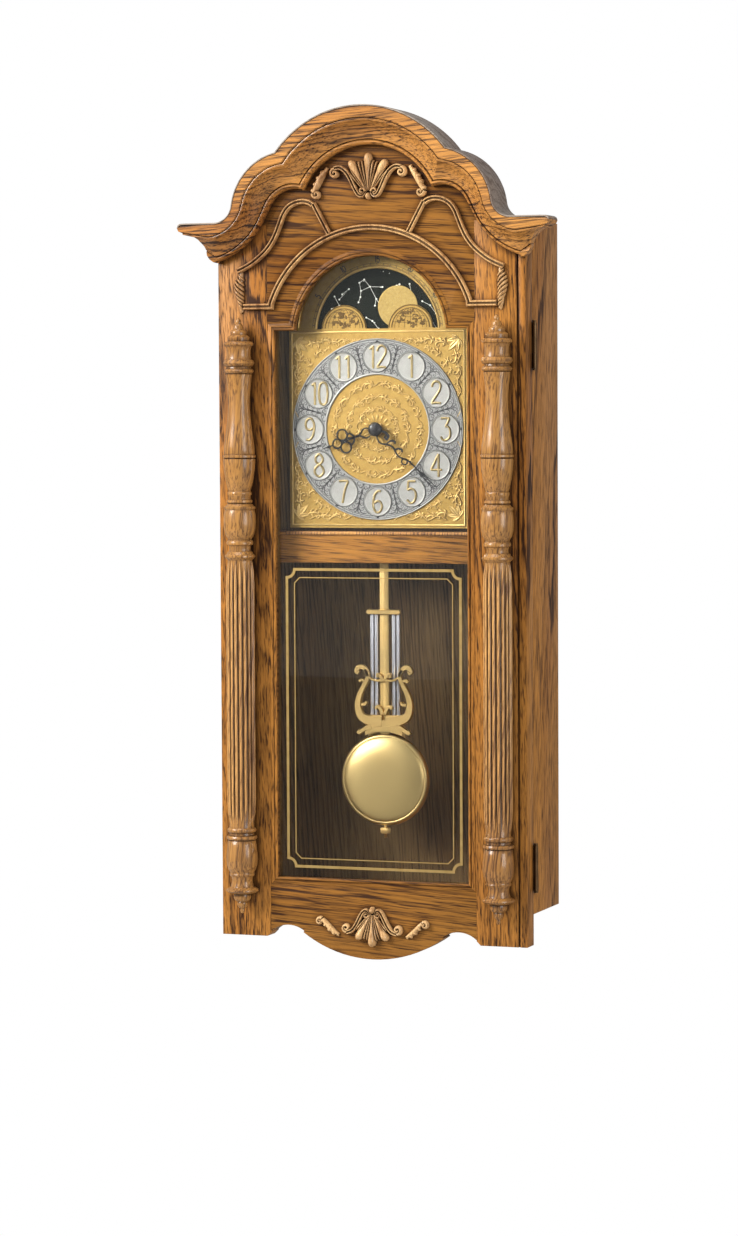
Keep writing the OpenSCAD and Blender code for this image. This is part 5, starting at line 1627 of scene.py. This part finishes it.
# Each hand is where it points, in degrees past twelve, and the depth of its back.
hand_up = 0.8
minute_at = (132, 14.8)
hour_at = (251, 17.9)
points, faces = [], []
hand_ring(points, faces, minute_at, 0, 0, 4.4, 1.6)
for run in (
    [(2.8, 4.4, 0.9), (6, 9, 0.75), (6.2, 14, 0.75), (3, 19, 0.85), (0.8, 25, 0.9), (2.6, 31, 0.85),
     (3.6, 36, 0.8), (1.6, 41.4, 0.8), (0, 47, 0.8), (0, 52, 0.7)],
    [(-2.4, 4.6, 0.9), (-4.6, 9.4, 1.3), (-4, 14.4, 1.5), (-0.6, 15.6, 1.0), (-0.8, 12.4, 0.8),
     (-2.6, 12.6, 0.7)],
    [(3.4, 18.4, 0.7), (-0.4, 18.8, 0.8), (-3.4, 20.6, 1.2), (-4.4, 23.6, 0.9), (-2.8, 24.6, 0.7)],
    [(1.8, 28.6, 0.7), (-1.8, 30.2, 1), (-3.4, 33.6, 0.9), (-2, 35.6, 0.7)],
):
    hand_run(points, faces, minute_at, run)
hand_ring(points, faces, minute_at, 3.3, 43.6, 2.9, 0.75)
minute_tip = [(0, 50, 0.8), (0, 62, 0.6), (0, 65, 1.9), (0, 69.6, 0.55), (0, 78, 0.5), (0, 85, 0.25)]
hand_run(points, faces, minute_at, minute_tip, 1)
minute = new_piece("minute_serpentine", points, faces, hand_paint, 40, 0.000001)
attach(minute, "minute_train")
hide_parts("minute_hand")

points, faces = [], []
hand_ring(points, faces, hour_at, 0, 0, 4.8, 1.2)
for run in (
    [(1.6, 5, 0.8), (4.4, 9.4, 0.75), (4.2, 13.4, 0.75), (0.8, 17.6, 0.9), (0, 23, 1), (0.6, 28, 0.9),
     (2.4, 32, 0.9)],
    [(-1.6, 5, 0.8), (-4.4, 9.4, 0.75), (-4.2, 13.4, 0.75), (-0.8, 17.6, 0.9), (0, 22, 1)],
):
    hand_run(points, faces, hour_at, run)
for curl in (-1, 1):
    curl_run = [(0, 24, 0.7), (curl * 3, 25.4, 1), (curl * 5.4, 28, 0.9), (curl * 4.2, 30.4, 0.7)]
    hand_run(points, faces, hour_at, curl_run)
for cx, cz, radius in ((6.4, 35.4, 5.4), (-6.4, 35.4, 5.4), (0, 43, 4.6)):
    hand_ring(points, faces, hour_at, cx, cz, radius, 0.85)
hand_run(points, faces, hour_at, [(0, 24, 0.9), (0, 39, 0.8)], 1)
hour_tip = [(0, 46.8, 0.8), (0, 50, 0.7), (0, 52, 1.6), (0, 55, 0.6), (0, 60.4, 0.25)]
hand_run(points, faces, hour_at, hour_tip, 1)
hour = new_piece("hour_serpentine", points, faces, hand_paint, 40, 0.000001)
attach(hour, "hour_train")
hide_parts("hour_hand")

cap_rows = ((6.9, 14), (7, 13.4), (6.7, 12.6), (5.9, 11.6), (4.6, 10.7), (3, 10.2), (1.4, 10), (0.01, 9.95))
cap = new_piece("domed_cap", *skin_rings(facing_rings(0, dial_z, cap_rows, 40)), hand_paint, 50, 0.000001)
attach(cap, "minute_train")
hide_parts("hand_cap")


# ---- Pendulum ----
# A flat brass rod swings from a pin on the movement and carries a lyre cut from brass plate.
# Four nickel tubes stand in the lyre below a short cross-bar.
rod_brass = metal_finish("rod_brass", (0.6, 0.42, 0.17), (0.42, 0.27, 0.1), 0.36, 0.6, 70)
bob_brass = metal_finish("bob_brass", (0.55, 0.41, 0.18), (0.48, 0.35, 0.15), 0.34, 0.0, 6)
nickel = metal_finish("nickel_tube", (0.47, 0.47, 0.51), (0.36, 0.36, 0.4), 0.34, 0.0, 30)
rod = soft_copy("pendulum_rod", "rod_strip", rod_brass, "pendulum", 0.25)
thread_end = at(0, 0, 97.4).z
for point in rod.data.vertices:
    point.co.z = max(point.co.z, thread_end)
lyre_thick = 4
lyre_back = 38.1
bob_z = 155
lyre_half = [
    [(2, 212.4, 6.4), (10, 212.6, 6.2), (18, 214, 5.2), (24.4, 218, 4.4), (27.2, 228, 3.7),
     (25.4, 238, 3.1), (21, 247, 2.6), (17.4, 254, 2.3), (16.8, 258.6, 2.1), (19.6, 263.6, 2.1)],
    [(16.4, 257, 1.6), (18.4, 262.4, 2.1), (22.2, 266, 2.5), (26.4, 265.6, 2.6), (28.2, 262, 2.8),
     (25.8, 260.2, 2.4)],
    [(19.6, 252, 1.4), (23.4, 253.2, 1.7), (25.6, 251.6, 1.7)],
    [(23.6, 229, 1.6), (19.6, 229.4, 1.6), (18, 232, 1.5)],
    [(15.2, 256, 1.1), (10.6, 253.4, 1.1), (5, 253, 1.2), (0, 254, 1.4)],
    [(1.2, 254.6, 1.8), (4, 257.6, 1.8), (6, 258.6, 2), (6.2, 256, 1.5)],
    [(1.2, 220, 2.2), (3.6, 225.4, 1.9), (6.8, 227, 1.9), (8.2, 224.6, 1.5)],
    [(13, 207.6, 3), (17, 206.2, 2.8), (20, 204.8, 2.4), (23, 203, 2.2), (25.6, 202, 2.9),
     (27.2, 202.8, 2.2)],
]
points, faces = [], []
for side in (-1, 1):
    for run in lyre_half:
        knots = [(side * x, z, width, lyre_thick) for x, z, width in run]
        carve(points, faces, knots, lyre_back, 5, flat_bar)
bar_z = 320.5
bar_half = ((-17.4, 1.2), (-16.6, 2.2), (-15.4, 2.8), (-13.4, 2.5), (13.4, 2.5), (15.4, 2.8), (16.6, 2.2),
            (17.4, 1.2))
carve(points, faces, [(x, bar_z, half, 3.6) for x, half in bar_half], 38.3, 1, flat_bar)

# A shaped foot joins the lyre to the strips behind the bob; it clears the bob at the top of its slide.
foot_rings = []
for k in range(17):
    x = between(-19.5, 19.5, k / 16)
    shelf = bob_z + math.sqrt(50.8 ** 2 - x ** 2)
    lip = bob_z + math.sqrt(47.6 ** 2 - x ** 2)
    head = max(shelf + 3, 214 - 0.02 * x * x)
    foot_section = (
        (34.6, head), (44.2, head), (44.2, 194), (43.3, 194),
        (43.3, shelf), (35.4, shelf), (35.4, lip), (34.6, lip),
    )
    foot_rings.append([at(x, y, z) for y, z in foot_section])
add_skin(points, faces, foot_rings)
lyre = new_piece("lyre_plate", points, faces, rod_brass, 40, 0.000001)
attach(lyre, "pendulum")
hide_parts("pendulum_lyre")

tube_rows = ((0.6, 209), (1.7, 209.4), (1.9, 210.4), (1.9, 240), (1.9, 280), (1.9, 317), (1.6, 318.6),
             (0.6, 319))
tube_y = 40.4
points, faces = [], []
for x in (-13.7, -9, 9, 13.7):
    add_skin(points, faces, upright_rings(x, tube_y, tube_rows, 20))
tubes = new_piece("nickel_tubes", points, faces, nickel, 50, 0.000001)
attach(tubes, "pendulum")


# ---- Bob and rating nut ----
# The bob is a spun brass shell with a rolled rim, polished and lacquered.
# A knurled brass nut under it sets its height on the rod.
bob_front = 30.2
dome_radius = 40.6
bob_rows = [(0.01, bob_front)]
for k in range(1, 15):
    bob_rows.append((dome_radius * k / 14, bob_front + 4.4 * (k / 14) ** 4))
bob_rows += [(41.2, 35.1), (41.8, 35.6), (42.4, 35.3), (43.2, 35.5), (44.2, 36.3), (45, 37.4),
             (45.6, 38.7), (46, 40.3), (45.7, 41.2), (44.6, 41.5), (40, 42.4), (20, 43), (0.01, 43)]
bob = new_piece("spun_bob", *skin_rings(facing_rings(0, bob_z, bob_rows, 96)), bob_brass, 50, 0.000001)
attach(bob, "bob")
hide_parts("pendulum_bob")

rod_y = 39
nut_z = 104.5
nut_radius = 4.6
nut_rows = ((1.72, 101.4), (4, 101.4), (4.5, 101.8), (4.6, 102.4), (4.6, 106.6), (4.5, 107.1), (4, 107.5),
            (1.72, 107.5))
nut_rings = upright_rings(0, rod_y, nut_rows, 32)
nut = new_piece("nut_body", *skin_rings(nut_rings, True, True), rod_brass, 40, 0.000001)
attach(nut, "nut")
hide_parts("rating_nut")
knurl_rows = ((0.168, -2.2), (0.42, -1.8), (0.42, 1.8), (0.168, 2.2))
knurl_points, knurl_faces = skin_rings(upright_rings(0, 0, knurl_rows, 6))
knurl = new_piece("one_knurl", from_start(knurl_points), knurl_faces, rod_brass, 60, 0.000001)
knurl_count = 26
places = []
for k in range(knurl_count):
    a = 2 * math.pi * k / knurl_count
    spot = at(nut_radius * math.cos(a), rod_y + nut_radius * math.sin(a), nut_z)
    places.append((spot, (0, 0, 0), 1))
knurls = repeat_on("nut_knurls", knurl, places, rod_brass)
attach(knurls, "nut")
bpy.data.objects.remove(knurl)
